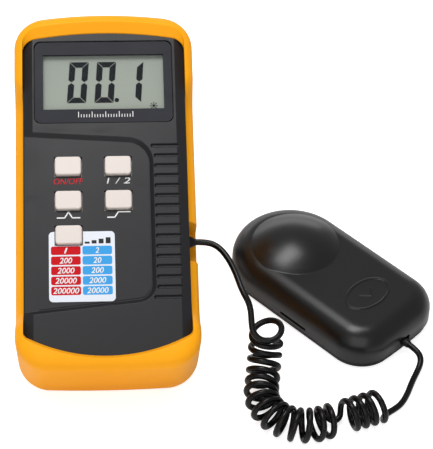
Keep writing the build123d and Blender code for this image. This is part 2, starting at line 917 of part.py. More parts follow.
# Board screws, up into the front case's posts
with BuildPart() as board_screws:
    with BuildSketch(level(board_level - board_screw_head_height)):
        with Locations(*board_post_places):
            Circle(board_screw_head_radius)
    extrude(amount=board_screw_head_height)
    with BuildSketch(level(board_level)):
        with Locations(*board_post_places):
            Circle(board_screw_radius)
    extrude(amount=board_screw_length)
board_screws.part.label = "board_screws"
export_step(board_screws.part, "parts/board_screws.step")

# Tactile switches under the keys
with BuildPart() as key_switches:
    with BuildSketch(level(board_top)):
        with Locations(*key_places.values()):
            Rectangle(switch_size, switch_size)
    extrude(amount=switch_height)
    with BuildSketch(level(board_top + switch_height)):
        with Locations(*key_places.values()):
            Circle(switch_plunger_radius)
    extrude(amount=switch_plunger_height)
key_switches.part.label = "key_switches"
export_step(key_switches.part, "parts/key_switches.step")

# Converter chip
with BuildPart() as converter_chip:
    with BuildSketch(level(board_top)):
        with Locations((chip_u, chip_v)):
            Rectangle(chip_size, chip_size)
    extrude(amount=chip_height)
    chamfer(converter_chip.faces().sort_by(out_axis)[-1].edges(), chip_edge)
converter_chip.part.label = "converter_chip"
export_step(converter_chip.part, "parts/converter_chip.step")

# Trim pots, one for each group of ranges
with BuildPart() as trim_pots:
    with BuildSketch(level(board_top)):
        with Locations((pot_u, pot_first_v - (pot_count - 1) * pot_pitch / 2)):
            with GridLocations(0, pot_pitch, 1, pot_count):
                Rectangle(pot_size, pot_size)
    extrude(amount=pot_height)
    with BuildSketch(level(board_top + pot_height)):
        with Locations((pot_u, pot_first_v - (pot_count - 1) * pot_pitch / 2)):
            with GridLocations(0, pot_pitch, 1, pot_count):
                Circle(pot_screw_radius)
    extrude(amount=pot_screw_height)
trim_pots.part.label = "trim_pots"
export_step(trim_pots.part, "parts/trim_pots.step")

# Crystal, a flat metal can
with BuildPart() as crystal:
    with BuildSketch(level(board_top)):
        with Locations((crystal_u, crystal_v)):
            SlotOverall(crystal_length, crystal_width, rotation=90)
    extrude(amount=crystal_height)
crystal.part.label = "crystal"
export_step(crystal.part, "parts/crystal.step")

# Capacitors in a row
with BuildPart() as capacitors:
    with BuildSketch(level(board_top)):
        with Locations((capacitor_first_u + (capacitor_count - 1) * capacitor_pitch / 2, capacitor_v)):
            with GridLocations(capacitor_pitch, 0, capacitor_count, 1):
                Circle(capacitor_radius)
    extrude(amount=capacitor_height)
capacitors.part.label = "capacitors"
export_step(capacitors.part, "parts/capacitors.step")

# Battery with its two studs, lying across the case
battery_low = case_back + door_thickness + pad_thickness + pad_gap
battery_depth = board_level - battery_board_gap - battery_low
battery_mid = battery_low + battery_depth / 2
snap_width = battery_width - 2 * snap_margin
snap_height = battery_depth * snap_height_share
battery_end = battery_length / 2 - battery_stud_height
stud_places = [(battery_v + side * battery_stud_pitch / 2, battery_mid) for side in (-1, 1)]
with BuildPart() as battery:
    with BuildSketch(side_plane(-battery_length / 2)):
        with Locations((battery_v, battery_mid)):
            RectangleRounded(battery_width, battery_depth, battery_edge_radius)
    extrude(amount=battery_length - battery_stud_height)
    with BuildSketch(side_plane(battery_end)):
        with Locations(*stud_places):
            Circle(battery_stud_radius)
    extrude(amount=battery_stud_height)
battery.part.label = "battery"
export_step(battery.part, "parts/battery.step")

# Battery snap over the studs
with BuildPart() as battery_snap:
    with BuildSketch(side_plane(battery_end)):
        with Locations((battery_v, battery_mid)):
            Rectangle(snap_width, snap_height)
    extrude(amount=snap_thickness)
    with BuildSketch(side_plane(battery_end)):
        with Locations(*stud_places):
            Circle(battery_stud_radius + snap_fit)
    extrude(amount=battery_stud_height + snap_fit, mode=Mode.SUBTRACT)
battery_snap.part.label = "battery_snap"
export_step(battery_snap.part, "parts/battery_snap.step")

# Two wires from the snap up to the board
with BuildPart() as battery_wires:
    with BuildSketch(level(battery_mid + snap_height / 2)):
        with Locations((battery_end + snap_thickness / 2, battery_v)):
            with GridLocations(0, wire_pitch, 1, 2):
                Circle(wire_radius)
    extrude(amount=board_level - battery_mid - snap_height / 2)
battery_wires.part.label = "battery_wires"
export_step(battery_wires.part, "parts/battery_wires.step")

# Battery door with finger grips, flush with the rear case
with BuildPart() as battery_door:
    with BuildSketch(level(case_back)):
        with Locations((0, battery_v)):
            RectangleRounded(door_width, door_height, door_corner_radius)
    extrude(amount=door_thickness)
    with BuildSketch(level(case_back)):
        with Locations((0, battery_v + door_height * door_grip_place_share)):
            with GridLocations(0, door_grip_pitch, 1, door_grip_count):
                SlotOverall(door_grip_width, door_grip_height)
    extrude(amount=door_grip_depth, mode=Mode.SUBTRACT)
battery_door.part.label = "battery_door"
export_step(battery_door.part, "parts/battery_door.step")

# Foam pad on the door
with BuildPart() as battery_pad:
    with BuildSketch(level(case_back + door_thickness)):
        with Locations((0, battery_v)):
            Rectangle(battery_length - 2 * pad_margin, battery_width - 2 * pad_margin)
    extrude(amount=pad_thickness)
battery_pad.part.label = "battery_pad"
export_step(battery_pad.part, "parts/battery_pad.step")

# Cord grommet, clamped between the case halves
with BuildPart() as meter_grommet:
    with BuildSketch(side_plane(inner_side - grommet_flange_thickness)):
        with Locations((cord_exit_v, cord_level)):
            Circle(grommet_flange_radius)
    extrude(amount=grommet_flange_thickness)
    with BuildSketch(side_plane(inner_side)):
        with Locations((cord_exit_v, cord_level)):
            Circle(grommet_radius)
    extrude(amount=case_wall)
    with BuildSketch(side_plane(case_width / 2)):
        with Locations((cord_exit_v, cord_level)):
            Circle(grommet_radius)
    with BuildSketch(side_plane(case_width / 2 + grommet_nose_length)):
        with Locations((cord_exit_v, cord_level)):
            Circle(grommet_nose_radius)
    loft()
meter_grommet.part.label = "meter_grommet"
export_step(meter_grommet.part, "parts/meter_grommet.step")

# Sensor head: its plane lies on the table, first axis from the domed front to the cord end
turn = radians(head_turn)
head = Plane(origin=(head_x, head_y, 0), x_dir=(cos(turn), sin(turn), 0), z_dir=(0, 0, 1))
dome_x = -head_length / 2 + head_width / 2 + dome_shift
dome_centre = head.from_local_coords(Vector(dome_x, 0, 0))
dome_plane = Plane(origin=dome_centre, x_dir=head.x_dir, z_dir=-head.y_dir)
dome_axis = Axis(dome_centre, (0, 0, 1))
head_side = Plane(origin=head.origin, x_dir=head.x_dir, z_dir=-head.y_dir)
wall_inset = cap_wall + cap_fit
inner_inset = wall_inset + deck_wall
deck_level = head_height - cap_wall - deck_gap
deck_under = deck_level - deck_wall
emblem_x = head_length / 2 - emblem_from_rear
head_post_room = 2 * head_post_radius - head_post_bite + head_post_gap
diffuser_radius = head_width / 2 - inner_inset - head_post_room - diffuser_flange
sensor_board_radius = sensor_board_share * diffuser_radius
standoff_circle = standoff_circle_share * diffuser_radius
filter_radius = filter_share * diffuser_radius
filter_ring_radius = filter_ring_share * diffuser_radius
head_post_rear_x = head_length / 2 - head_post_rear_room
head_post_rear_y = head_width / 2 - inner_inset - head_post_side_room
bulge_radius = bulge_radius_share * head_width / 2
flat_radius = head_width / 2 - cap_edge_radius
bulge_reach = max(bulge_radius - flat_radius, 0)
bulge_rim = head_height - cap_edge_radius + sqrt(cap_edge_radius**2 - bulge_reach**2)
bulge_sphere = (bulge_radius**2 + bulge_height**2) / (2 * bulge_height)
bulge_centre = bulge_rim + bulge_height - bulge_sphere
bulge_angle = atan2(bulge_radius, bulge_sphere - bulge_height)
hollow_sphere = bulge_sphere - cap_wall
hollow_angle = bulge_angle * (bulge_radius - cap_wall) / bulge_radius
head_posts = [
    (dome_x - diffuser_radius - diffuser_flange - head_post_radius - head_post_gap, 0),
    (head_post_rear_x, head_post_rear_y),
    (head_post_rear_x, -head_post_rear_y),
]

cord_notch_reach = head_grommet_radius + cord_notch_gap

# Plane of the head's grommet, at the inner wall behind the cord's hole
grommet_plane = Plane(
    origin=head.from_local_coords(Vector(head_length / 2 - inner_inset, 0, head_split)),
    x_dir=head.y_dir,
    z_dir=head.x_dir,
)


def sphere_point(radius, centre, angle):
    """Point of a round profile: its distance from the dome's axis and its height."""
    return (radius * sin(angle), centre + radius * cos(angle))


# Sensor cap, one shell with the round bulge over the dome
with BuildPart() as sensor_cap:
    with BuildSketch(head.offset(cap_low)):
        add(head_outline(0))
    extrude(amount=head_height - cap_low)
    fillet(sensor_cap.faces().sort_by(Axis.Z)[-1].edges(), cap_edge_radius)
    with BuildSketch(dome_plane):
        with BuildLine():
            ThreePointArc(
                sphere_point(bulge_sphere, bulge_centre, 0),
                sphere_point(bulge_sphere, bulge_centre, bulge_angle / 2),
                sphere_point(bulge_sphere, bulge_centre, bulge_angle),
            )
            Polyline(
                sphere_point(bulge_sphere, bulge_centre, bulge_angle),
                (bulge_radius, bulge_rim - bulge_seat),
                (0, bulge_rim - bulge_seat),
                sphere_point(bulge_sphere, bulge_centre, 0),
            )
        make_face()
    revolve(axis=dome_axis)
    with BuildSketch(head.offset(head_height)):
        with Locations((emblem_x, 0)):
            Ellipse(emblem_half_length, emblem_half_width)
            Ellipse(
                emblem_half_length - emblem_line,
                emblem_half_width - emblem_line,
                mode=Mode.SUBTRACT,
            )
    extrude(amount=emblem_height)
    with BuildSketch(head.offset(head_height)):
        with BuildLine():
            Polyline(
                (emblem_x - arrow_width / 2, -arrow_length / 2),
                (emblem_x + arrow_width / 2, 0),
                (emblem_x - arrow_width / 2, arrow_length / 2),
                (emblem_x - arrow_width / 2 + emblem_line, arrow_length / 2),
                (emblem_x + arrow_width / 2 + emblem_line, 0),
                (emblem_x - arrow_width / 2 + emblem_line, -arrow_length / 2),
                close=True,
            )
        make_face()
    extrude(amount=emblem_height)
    with BuildPart(mode=Mode.PRIVATE) as hollow:
        with BuildSketch(head.offset(cap_low - overrun)):
            add(head_outline(cap_wall))
        extrude(amount=head_height - cap_wall - cap_low + overrun)
        fillet(hollow.faces().sort_by(Axis.Z)[-1].edges(), cap_edge_radius - cap_wall)
    add(hollow.part, mode=Mode.SUBTRACT)
    with BuildSketch(dome_plane):
        with BuildLine():
            ThreePointArc(
                sphere_point(hollow_sphere, bulge_centre, 0),
                sphere_point(hollow_sphere, bulge_centre, hollow_angle / 2),
                sphere_point(hollow_sphere, bulge_centre, hollow_angle),
            )
            Polyline(
                sphere_point(hollow_sphere, bulge_centre, hollow_angle),
                (hollow_sphere * sin(hollow_angle), deck_level),
                (0, deck_level),
                sphere_point(hollow_sphere, bulge_centre, 0),
            )
        make_face()
    revolve(axis=dome_axis, mode=Mode.SUBTRACT)
    with BuildSketch(grommet_plane):
        with Locations((0, (cap_low - overrun - head_split + cord_notch_reach) / 2)):
            RectangleRounded(
                2 * cord_notch_reach, cord_notch_reach + head_split - cap_low + overrun, cord_notch_radius
            )
    extrude(amount=inner_inset + overrun, mode=Mode.SUBTRACT)
    with BuildSketch(head_side.offset(head_width / 2 - cap_wall - cap_fit / 2)):
        with Locations((thumb_slot_x, cap_low + thumb_slot_rise)):
            RectangleRounded(thumb_slot_length, thumb_slot_height, thumb_slot_radius)
    extrude(amount=cap_wall + overrun, mode=Mode.SUBTRACT)
sensor_cap.part.label = "sensor_cap"
export_step(sensor_cap.part, "parts/sensor_cap.step")

# Sensor base, which rests on the table
with BuildPart() as sensor_base:
    with BuildSketch(head):
        add(head_outline(base_inset))
    extrude(amount=base_flange)
    fillet(sensor_base.faces().sort_by(Axis.Z)[0].edges(), base_edge_radius)
    with BuildSketch(head.offset(base_flange)):
        add(head_outline(wall_inset))
    extrude(amount=head_split - base_flange)
    with BuildSketch(head.offset(base_floor)):
        add(head_outline(inner_inset))
    extrude(amount=head_split - base_floor, mode=Mode.SUBTRACT)
    with BuildSketch(head.offset(base_floor)):
        with Locations(*head_posts):
            Circle(head_post_radius)
    extrude(amount=head_split - base_floor)
    with BuildSketch(head.offset(base_floor)):
        with Locations((dome_x, 0)):
            with PolarLocations(standoff_circle, standoff_count):
                Circle(standoff_radius)
    extrude(amount=sensor_board_level - base_floor)
    with BuildSketch(head):
        with Locations(*head_posts):
            Circle(head_screw_radius)
    extrude(amount=head_split, mode=Mode.SUBTRACT)
    with BuildSketch(head):
        with Locations(*head_posts):
            Circle(head_screw_head_radius + screw_clearance)
    extrude(amount=head_screw_head_height, mode=Mode.SUBTRACT)
    with BuildSketch(grommet_plane.offset(-deck_wall)):
        Circle(head_grommet_radius)
    extrude(amount=inner_inset + deck_wall + overrun, mode=Mode.SUBTRACT)
sensor_base.part.label = "sensor_base"
export_step(sensor_base.part, "parts/sensor_base.step")

# Sensor top, the deck that carries the diffuser
with BuildPart() as sensor_top:
    with BuildSketch(head.offset(head_split)):
        add(head_outline(wall_inset))
    extrude(amount=deck_level - head_split)
    fillet(sensor_top.faces().sort_by(Axis.Z)[-1].edges(), deck_edge_radius)
    with BuildSketch(head.offset(head_split)):
        add(head_outline(inner_inset))
    extrude(amount=deck_under - head_split, mode=Mode.SUBTRACT)
    with BuildSketch(head.offset(head_split)):
        with Locations(*head_posts):
            Circle(head_post_radius)
    extrude(amount=deck_under - head_split)
    with BuildSketch(head.offset(head_split)):
        with Locations(*head_posts):
            Circle(head_screw_radius)
    extrude(
        amount=head_screw_head_height + head_screw_length + screw_clearance - head_split,
        mode=Mode.SUBTRACT,
    )
    with BuildSketch(head.offset(deck_under)):
        with Locations((dome_x, 0)):
            Circle(diffuser_radius + diffuser_gap)
    extrude(amount=deck_wall, mode=Mode.SUBTRACT)
    with BuildSketch(grommet_plane.offset(-deck_wall)):
        Circle(head_grommet_radius)
    extrude(amount=inner_inset + deck_wall + overrun, mode=Mode.SUBTRACT)
sensor_top.part.label = "sensor_top"
export_step(sensor_top.part, "parts/sensor_top.step")

# White diffuser dome, a round shell with a flange under the deck
diffuser_sphere = (diffuser_radius**2 + diffuser_rise**2) / (2 * diffuser_rise)
diffuser_centre = deck_level + diffuser_rise - diffuser_sphere
diffuser_angle = atan2(diffuser_radius, diffuser_sphere - diffuser_rise)
lumen_sphere = diffuser_sphere - diffuser_wall
lumen_radius = diffuser_radius - diffuser_wall
lumen_angle = atan2(lumen_radius, sqrt(lumen_sphere**2 - lumen_radius**2))
with BuildPart() as diffuser_dome:
    with BuildSketch(dome_plane):
        with BuildLine():
            Polyline(
                sphere_point(lumen_sphere, diffuser_centre, lumen_angle),
                (lumen_radius, deck_under - diffuser_flange_thickness),
                (diffuser_radius + diffuser_flange, deck_under - diffuser_flange_thickness),
                (diffuser_radius + diffuser_flange, deck_under),
                (diffuser_radius, deck_under),
                sphere_point(diffuser_sphere, diffuser_centre, diffuser_angle),
            )
            ThreePointArc(
                sphere_point(diffuser_sphere, diffuser_centre, diffuser_angle),
                sphere_point(diffuser_sphere, diffuser_centre, diffuser_angle / 2),
                sphere_point(diffuser_sphere, diffuser_centre, 0),
            )
            Line(
                sphere_point(diffuser_sphere, diffuser_centre, 0),
                sphere_point(lumen_sphere, diffuser_centre, 0),
            )
            ThreePointArc(
                sphere_point(lumen_sphere, diffuser_centre, 0),
                sphere_point(lumen_sphere, diffuser_centre, lumen_angle / 2),
                sphere_point(lumen_sphere, diffuser_centre, lumen_angle),
            )
        make_face()
    revolve(axis=dome_axis)
diffuser_dome.part.label = "diffuser_dome"
export_step(diffuser_dome.part, "parts/diffuser_dome.step")

# Sensor board under the dome
sensor_board_top = sensor_board_level + sensor_board_thickness
with BuildPart() as sensor_board:
    with BuildSketch(head.offset(sensor_board_level)):
        with Locations((dome_x, 0)):
            Circle(sensor_board_radius)
    extrude(amount=sensor_board_thickness)
sensor_board.part.label = "sensor_board"
export_step(sensor_board.part, "parts/sensor_board.step")

# Photodiode on the sensor board
with BuildPart() as photodiode:
    with BuildSketch(head.offset(sensor_board_top)):
        with Locations((dome_x, 0)):
            Circle(diode_radius)
    extrude(amount=diode_height)
    chamfer(photodiode.faces().sort_by(Axis.Z)[-1].edges(), diode_edge)
photodiode.part.label = "photodiode"
export_step(photodiode.part, "parts/photodiode.step")

# Filter ring, a stepped tube standing on the sensor board
with BuildPart() as filter_ring:
    with BuildSketch(head.offset(sensor_board_top)):
        with Locations((dome_x, 0)):
            Circle(filter_ring_radius)
            Circle(filter_radius - filter_ring_seat, mode=Mode.SUBTRACT)
    extrude(amount=filter_ring_top - sensor_board_top)
    with BuildSketch(head.offset(filter_level)):
        with Locations((dome_x, 0)):
            Circle(filter_radius + filter_gap)
    extrude(amount=filter_ring_top - filter_level, mode=Mode.SUBTRACT)
filter_ring.part.label = "filter_ring"
export_step(filter_ring.part, "parts/filter_ring.step")

# Filter glass, seated in the ring's step
with BuildPart() as filter_glass:
    with BuildSketch(head.offset(filter_level)):
        with Locations((dome_x, 0)):
            Circle(filter_radius)
    extrude(amount=filter_thickness)
filter_glass.part.label = "filter_glass"
export_step(filter_glass.part, "parts/filter_glass.step")

# Sensor screws, up through the base into the deck's posts
with BuildPart() as sensor_screws:
    with BuildSketch(head):
        with Locations(*head_posts):
            Circle(head_screw_head_radius)
            Circle(head_screw_socket_radius, mode=Mode.SUBTRACT)
    extrude(amount=head_screw_head_height)
    with BuildSketch(head.offset(head_screw_head_height)):
        with Locations(*head_posts):
            Circle(head_screw_radius)
    extrude(amount=head_screw_length)
sensor_screws.part.label = "sensor_screws"
export_step(sensor_screws.part, "parts/sensor_screws.step")

# Grommet at the head's cord end
with BuildPart() as sensor_grommet:
    with BuildSketch(grommet_plane.offset(-grommet_flange_thickness - pin_clearance)):
        Circle(head_grommet_flange_radius)
    extrude(amount=grommet_flange_thickness)
    with BuildSketch(grommet_plane.offset(-pin_clearance)):
        Circle(head_grommet_radius)
    extrude(amount=deck_wall + pin_clearance)
    with BuildSketch(grommet_plane.offset(deck_wall)):
        Circle(head_grommet_radius)
    with BuildSketch(grommet_plane.offset(deck_wall + head_grommet_nose_length)):
        Circle(head_grommet_nose_radius)
    loft()
sensor_grommet.part.label = "sensor_grommet"
export_step(sensor_grommet.part, "parts/sensor_grommet.step")

# Two wires from the sensor board to the grommet
wire_start = dome_x + sensor_board_radius
wire_end = head_length / 2 - inner_inset - grommet_flange_thickness - pin_clearance
wire_level = sensor_board_level + sensor_board_thickness / 2
with BuildPart() as sensor_wires:
    with BuildSketch(
        Plane(
            origin=head.from_local_coords(Vector(wire_start, 0, wire_level)),
            x_dir=head.y_dir,
            z_dir=head.x_dir,
        )
    ):
        with GridLocations(sensor_wire_pitch, 0, 2, 1):
            Circle(sensor_wire_radius)
    extrude(amount=wire_end - wire_start)
sensor_wires.part.label = "sensor_wires"
export_step(sensor_wires.part, "parts/sensor_wires.step")

# Curly cord: its coil tips over a crown, comes down to the table in an arc, bends round and ends in a row.
# The curls wind one way, turn back once within the row, and wind the other way.
foot = Vector(meter_x, meter_y, 0)
up = Vector(0, 0, 1)
coil_level = curl_radius + cord_diameter / 2 + curl_floor_gap
coil_heading = radians(coil_turn)
coil_plane = Plane(
    origin=foot + Vector(coil_x, coil_y, coil_level),
    x_dir=(cos(coil_heading), sin(coil_heading), 0),
    z_dir=up,
)
crown_length = crown_radius * radians(crown_sweep)
rise_length = rise_radius * radians(rise_sweep)
bend_length = bend_radius * radians(bend_sweep)
row_slope = atan2(row_pitch, 2 * pi * curl_radius)


def coil_station(distance, phase):
    """Place on the coil, by the distance along its axis and the phase round it."""
    row_distance = distance - crown_length - rise_length
    if row_distance < 0:
        low_angle = min(-row_distance, rise_length) / rise_radius
        angle = low_angle + max(crown_length - distance, 0) / crown_radius
        along = rise_radius * sin(low_angle) + crown_radius * (sin(angle) - sin(low_angle))
        height = rise_radius * (1 - cos(low_angle)) + crown_radius * (cos(low_angle) - cos(angle))
        centre = Vector(0, along, height)
        across = Vector(1, 0, 0)
        upward = Vector(0, -sin(angle), cos(angle))
    else:
        angle = min(row_distance / bend_radius, radians(bend_sweep))
        centre = Vector(bend_radius * (1 - cos(angle)), -bend_radius * sin(angle), 0)
        centre += Vector(sin(angle), -cos(angle), 0) * max(row_distance - bend_length, 0)
        across = Vector(cos(angle), sin(angle), 0)
        upward = up
    curl = across * curl_radius * cos(phase) + upward * curl_radius * sin(phase)
    return coil_plane.from_local_coords(centre + curl)


def wound(length, turns):
    """Steps along the axis and round it for evenly wound curls."""
    parts = ceil(turn_parts * abs(turns))
    return [(length / parts, 2 * pi * turns / parts)] * parts


def swung(radius, start, end, parts):
    """Steps for an arc on the unrolled coil, between two headings measured from the axis."""
    side = 1 if end > start else -1
    headings = [start + (end - start) * index / parts for index in range(parts + 1)]
    return [
        (
            side * radius * (sin(after) - sin(before)),
            side * radius * (cos(before) - cos(after)) / curl_radius,
        )
        for before, after in zip(headings, headings[1:])
    ]


steep = pi / 2 - row_slope
steps = (
    wound(crown_length, -crown_turns)
    + wound(rise_length, -rise_turns)
    + wound(bend_length, -bend_turns)
    + wound(row_pitch * first_row_turns, -first_row_turns)
    + swung(reversal_radius, -steep, steep, arc_parts)
    + wound(row_pitch * last_row_turns, last_row_turns)
    + swung(unwind_radius, steep, radians(leave_angle), arc_parts)
)
distances = [0]
phases = [-pi / 2 - sum(swing for advance, swing in steps)]
for advance, swing in steps:
    distances.append(distances[-1] + advance)
    phases.append(phases[-1] + swing)
curl_points = [coil_station(distance, phase) for distance, phase in zip(distances, phases)]


def heading_at(index):
    """Heading of the coil's line at one of its points, from a little before it to a little after."""
    last = len(steps) - 1
    advance_in, swing_in = steps[max(index - 1, 0)]
    advance_out, swing_out = steps[min(index, last)]
    before = coil_station(
        distances[index] - advance_in / heading_parts, phases[index] - swing_in / heading_parts
    )
    after = coil_station(
        distances[index] + advance_out / heading_parts, phases[index] + swing_out / heading_parts
    )
    return (after - before).normalized()


curl_headings = [heading_at(index) for index in range(len(curl_points))]
coil_start = curl_points[0] - curl_headings[0] * cord_diameter
coil_end = curl_points[-1] + curl_headings[-1] * cord_diameter


def biarc_joint(start, start_heading, end, end_heading):
    """Point and heading where two tangent arcs meet between two points with headings."""
    chord = end - start
    bend = 2 * (1 - start_heading.dot(end_heading))
    pull = 2 * chord.dot(start_heading + end_heading)
    reach = (sqrt(pull**2 + 4 * bend * chord.dot(chord)) - pull) / (2 * bend)
    near = start + start_heading * reach
    far = end - end_heading * reach
    return (near + far) / 2, (far - near).normalized()


with BuildPart() as cord_coil:
    with BuildLine() as coil_line:
        Line(coil_start, curl_points[0])
        for index in range(len(steps)):
            joint, joint_heading = biarc_joint(
                curl_points[index],
                curl_headings[index],
                curl_points[index + 1],
                curl_headings[index + 1],
            )
            TangentArc(curl_points[index], joint, tangent=curl_headings[index])
            TangentArc(joint, curl_points[index + 1], tangent=joint_heading)
        Line(curl_points[-1], coil_end)
    with BuildSketch(Plane(origin=coil_start, z_dir=curl_headings[0])):
        Circle(cord_diameter / 2)
    sweep()
cord_coil.part.label = "cord_coil"
export_step(cord_coil.part, "parts/cord_coil.step")

# Least gap of the coil to itself, on points along its arcs, and its tightest arc
coil_edges = coil_line.edges()
samples = [edge @ (index / arc_parts) for edge in coil_edges for index in range(arc_parts)]
near_count = turn_parts * arc_parts
gaps = [
    (first - second).length
    for index, first in enumerate(samples)
    for second in samples[index + near_count :]
]
coil_length = sum(edge.length for edge in coil_edges)
arc_radii = [edge.radius for edge in coil_edges.filter_by(GeomType.CIRCLE)]
print("coil end", coil_end - foot, "heading", curl_headings[-1])
print("coil start", coil_start - foot, "heading", curl_headings[0])
print("coil length", coil_length, "least gap", min(gaps) - cord_diameter)
print("coil tightest arc", min(arc_radii), "volume", cord_coil.part.volume)
print("coil section times length", pi * (cord_diameter / 2) ** 2 * coil_length)


def corner_radii(route):
    """Arc radius at each corner of a lead, as large as its two runs allow."""
    radii = []
    for before, corner, after in zip(route, route[1:], route[2:]):
        arriving = corner - before
        leaving = after - corner
        half_turn = radians(arriving.get_angle(leaving)) / 2
        radii.append(corner_share * min(arriving.length, leaving.length) / tan(half_turn))
    return radii


# Lead from the meter's grommet to the coil
meter_lead_start = point(case_width / 2 + grommet_nose_length, cord_exit_v, cord_level)
meter_lead = (
    [meter_lead_start, meter_lead_start + Vector(lead_start_run, 0, 0)]
    + [foot + Vector(place) for place in meter_lead_route]
    + [coil_start - curl_headings[0] * coil_entry_run, coil_start]
)

# Lead from the coil to the sensor head's grommet
sensor_lead_end = grommet_plane.offset(deck_wall + head_grommet_nose_length).origin
sensor_lead = (
    [coil_end, coil_end + curl_headings[-1] * lead_end_run]
    + [foot + Vector(place) for place in sensor_lead_route]
    + [sensor_lead_end + head.x_dir * lead_end_run, sensor_lead_end]
)
for lead_name, route in (("cord_meter_lead", meter_lead), ("cord_sensor_lead", sensor_lead)):
    radii = corner_radii(route)
    with BuildPart() as lead:
        with BuildLine() as lead_line:
            FilletPolyline(*route, radius=radii)
        with BuildSketch(Plane(origin=route[0], z_dir=route[1] - route[0])):
            Circle(cord_diameter / 2)
        sweep()
    lead.part.label = lead_name
    export_step(lead.part, f"parts/{lead_name}.step")
    lead_length = sum(edge.length for edge in lead_line.edges())
    print(lead_name, "length", lead_length, "radii", [round(radius, 1) for radius in radii])
    print("volume", lead.part.volume, "section times length", pi * (cord_diameter / 2) ** 2 * lead_length)
    print("runs", [round((after - before).length, 1) for before, after in zip(route, route[1:])])
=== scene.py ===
"""Looks of a hand-held light meter with a sensor head on a curly cord.

It dresses the rubber holster, the case, the display, the keys, the printed label and the sensor
head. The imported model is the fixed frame. Lengths on the meter's face are in millimetres and are
turned into the frame's metres by one matrix. The cord's route is in metres.
"""

import logging
import math
from collections.abc import Iterable, Sequence
from dataclasses import dataclass, field
from enum import Enum

import bmesh
import bpy
from mathutils import Matrix, Vector


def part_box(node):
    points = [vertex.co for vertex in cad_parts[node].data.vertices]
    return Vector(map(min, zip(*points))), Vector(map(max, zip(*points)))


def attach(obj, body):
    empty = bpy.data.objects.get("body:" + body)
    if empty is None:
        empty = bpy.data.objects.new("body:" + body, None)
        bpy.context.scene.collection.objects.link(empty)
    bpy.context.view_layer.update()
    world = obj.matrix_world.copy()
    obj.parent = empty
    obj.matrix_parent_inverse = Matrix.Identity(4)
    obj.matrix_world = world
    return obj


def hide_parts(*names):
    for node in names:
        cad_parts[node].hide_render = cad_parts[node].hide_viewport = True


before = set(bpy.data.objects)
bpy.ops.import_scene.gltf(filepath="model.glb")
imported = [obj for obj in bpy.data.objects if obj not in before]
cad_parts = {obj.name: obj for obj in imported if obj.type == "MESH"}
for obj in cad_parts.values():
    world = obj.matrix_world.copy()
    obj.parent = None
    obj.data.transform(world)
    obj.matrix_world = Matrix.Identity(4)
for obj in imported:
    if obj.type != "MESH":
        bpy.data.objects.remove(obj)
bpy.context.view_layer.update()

logging.basicConfig(level=logging.INFO, format="%(message)s")
log = logging.getLogger("lux_meter")

MM = 0.001
WHITE = (1.0, 1.0, 1.0, 1.0)

Color = tuple[float, float, float]
Place = tuple[float, float]
Point = tuple[float, float, float]
Material = bpy.types.Material
Socket = bpy.types.NodeSocket
Tree = bpy.types.NodeTree
Value = float | tuple[float, ...] | Socket
Inputs = dict[str | int, Value]


class Role(Enum):
    """What a shared effect puts out."""

    HEIGHT = "Height"
    MASK = "Mask"


class Mark(Enum):
    """Printed sign beside a key."""

    ON_OFF = "ON/OFF"
    UNITS = "1 / 2"
    PEAK = "peak"
    HOLD = "hold"
    RANGES = "ranges"


class Stroke(Enum):
    """Bars of a display digit, by their place."""

    TOP = "top"
    BOTTOM = "bottom"
    UPPER_LEFT = "upper left"
    LOWER_LEFT = "lower left"
    UPPER_RIGHT = "upper right"
    LOWER_RIGHT = "lower right"


LIT: dict[str, tuple[Stroke, ...]] = {
    "0": tuple(Stroke),
    "1": (Stroke.UPPER_RIGHT, Stroke.LOWER_RIGHT),
}


def add_object(name: str, data: bpy.types.ID) -> bpy.types.Object:
    """Puts a new object in the scene.

    Args:
        name: The object's name.
        data: Its mesh, curve, lamp or camera.

    Returns:
        The object.
    """
    item = bpy.data.objects.new(name, data)
    bpy.context.scene.collection.objects.link(item)
    return item


def set_inputs(tree: Tree, node: bpy.types.Node, inputs: Inputs) -> None:
    """Puts constants and links on a node's inputs.

    Args:
        tree: The tree that holds the node.
        node: The node.
        inputs: A constant, or a socket to link, by the input's name or number.
    """
    for label, value in inputs.items():
        if isinstance(value, Socket):
            tree.links.new(value, node.inputs[label])
        else:
            node.inputs[label].default_value = value


def add_node(tree: Tree, kind: str, inputs: Inputs) -> bpy.types.Node:
    """Makes a node.

    Args:
        tree: The tree that takes it.
        kind: The node's type.
        inputs: What its inputs get.

    Returns:
        The node.
    """
    node = tree.nodes.new(kind)
    set_inputs(tree, node, inputs)
    return node


def add_math(tree: Tree, operation: str, *values: Value) -> bpy.types.Node:
    """Makes a Math node.

    Args:
        tree: The tree that takes it.
        operation: What it works out.
        values: What its inputs get, in order.

    Returns:
        The node.
    """
    node = add_node(tree, "ShaderNodeMath", dict(enumerate(values)))
    node.operation = operation
    return node


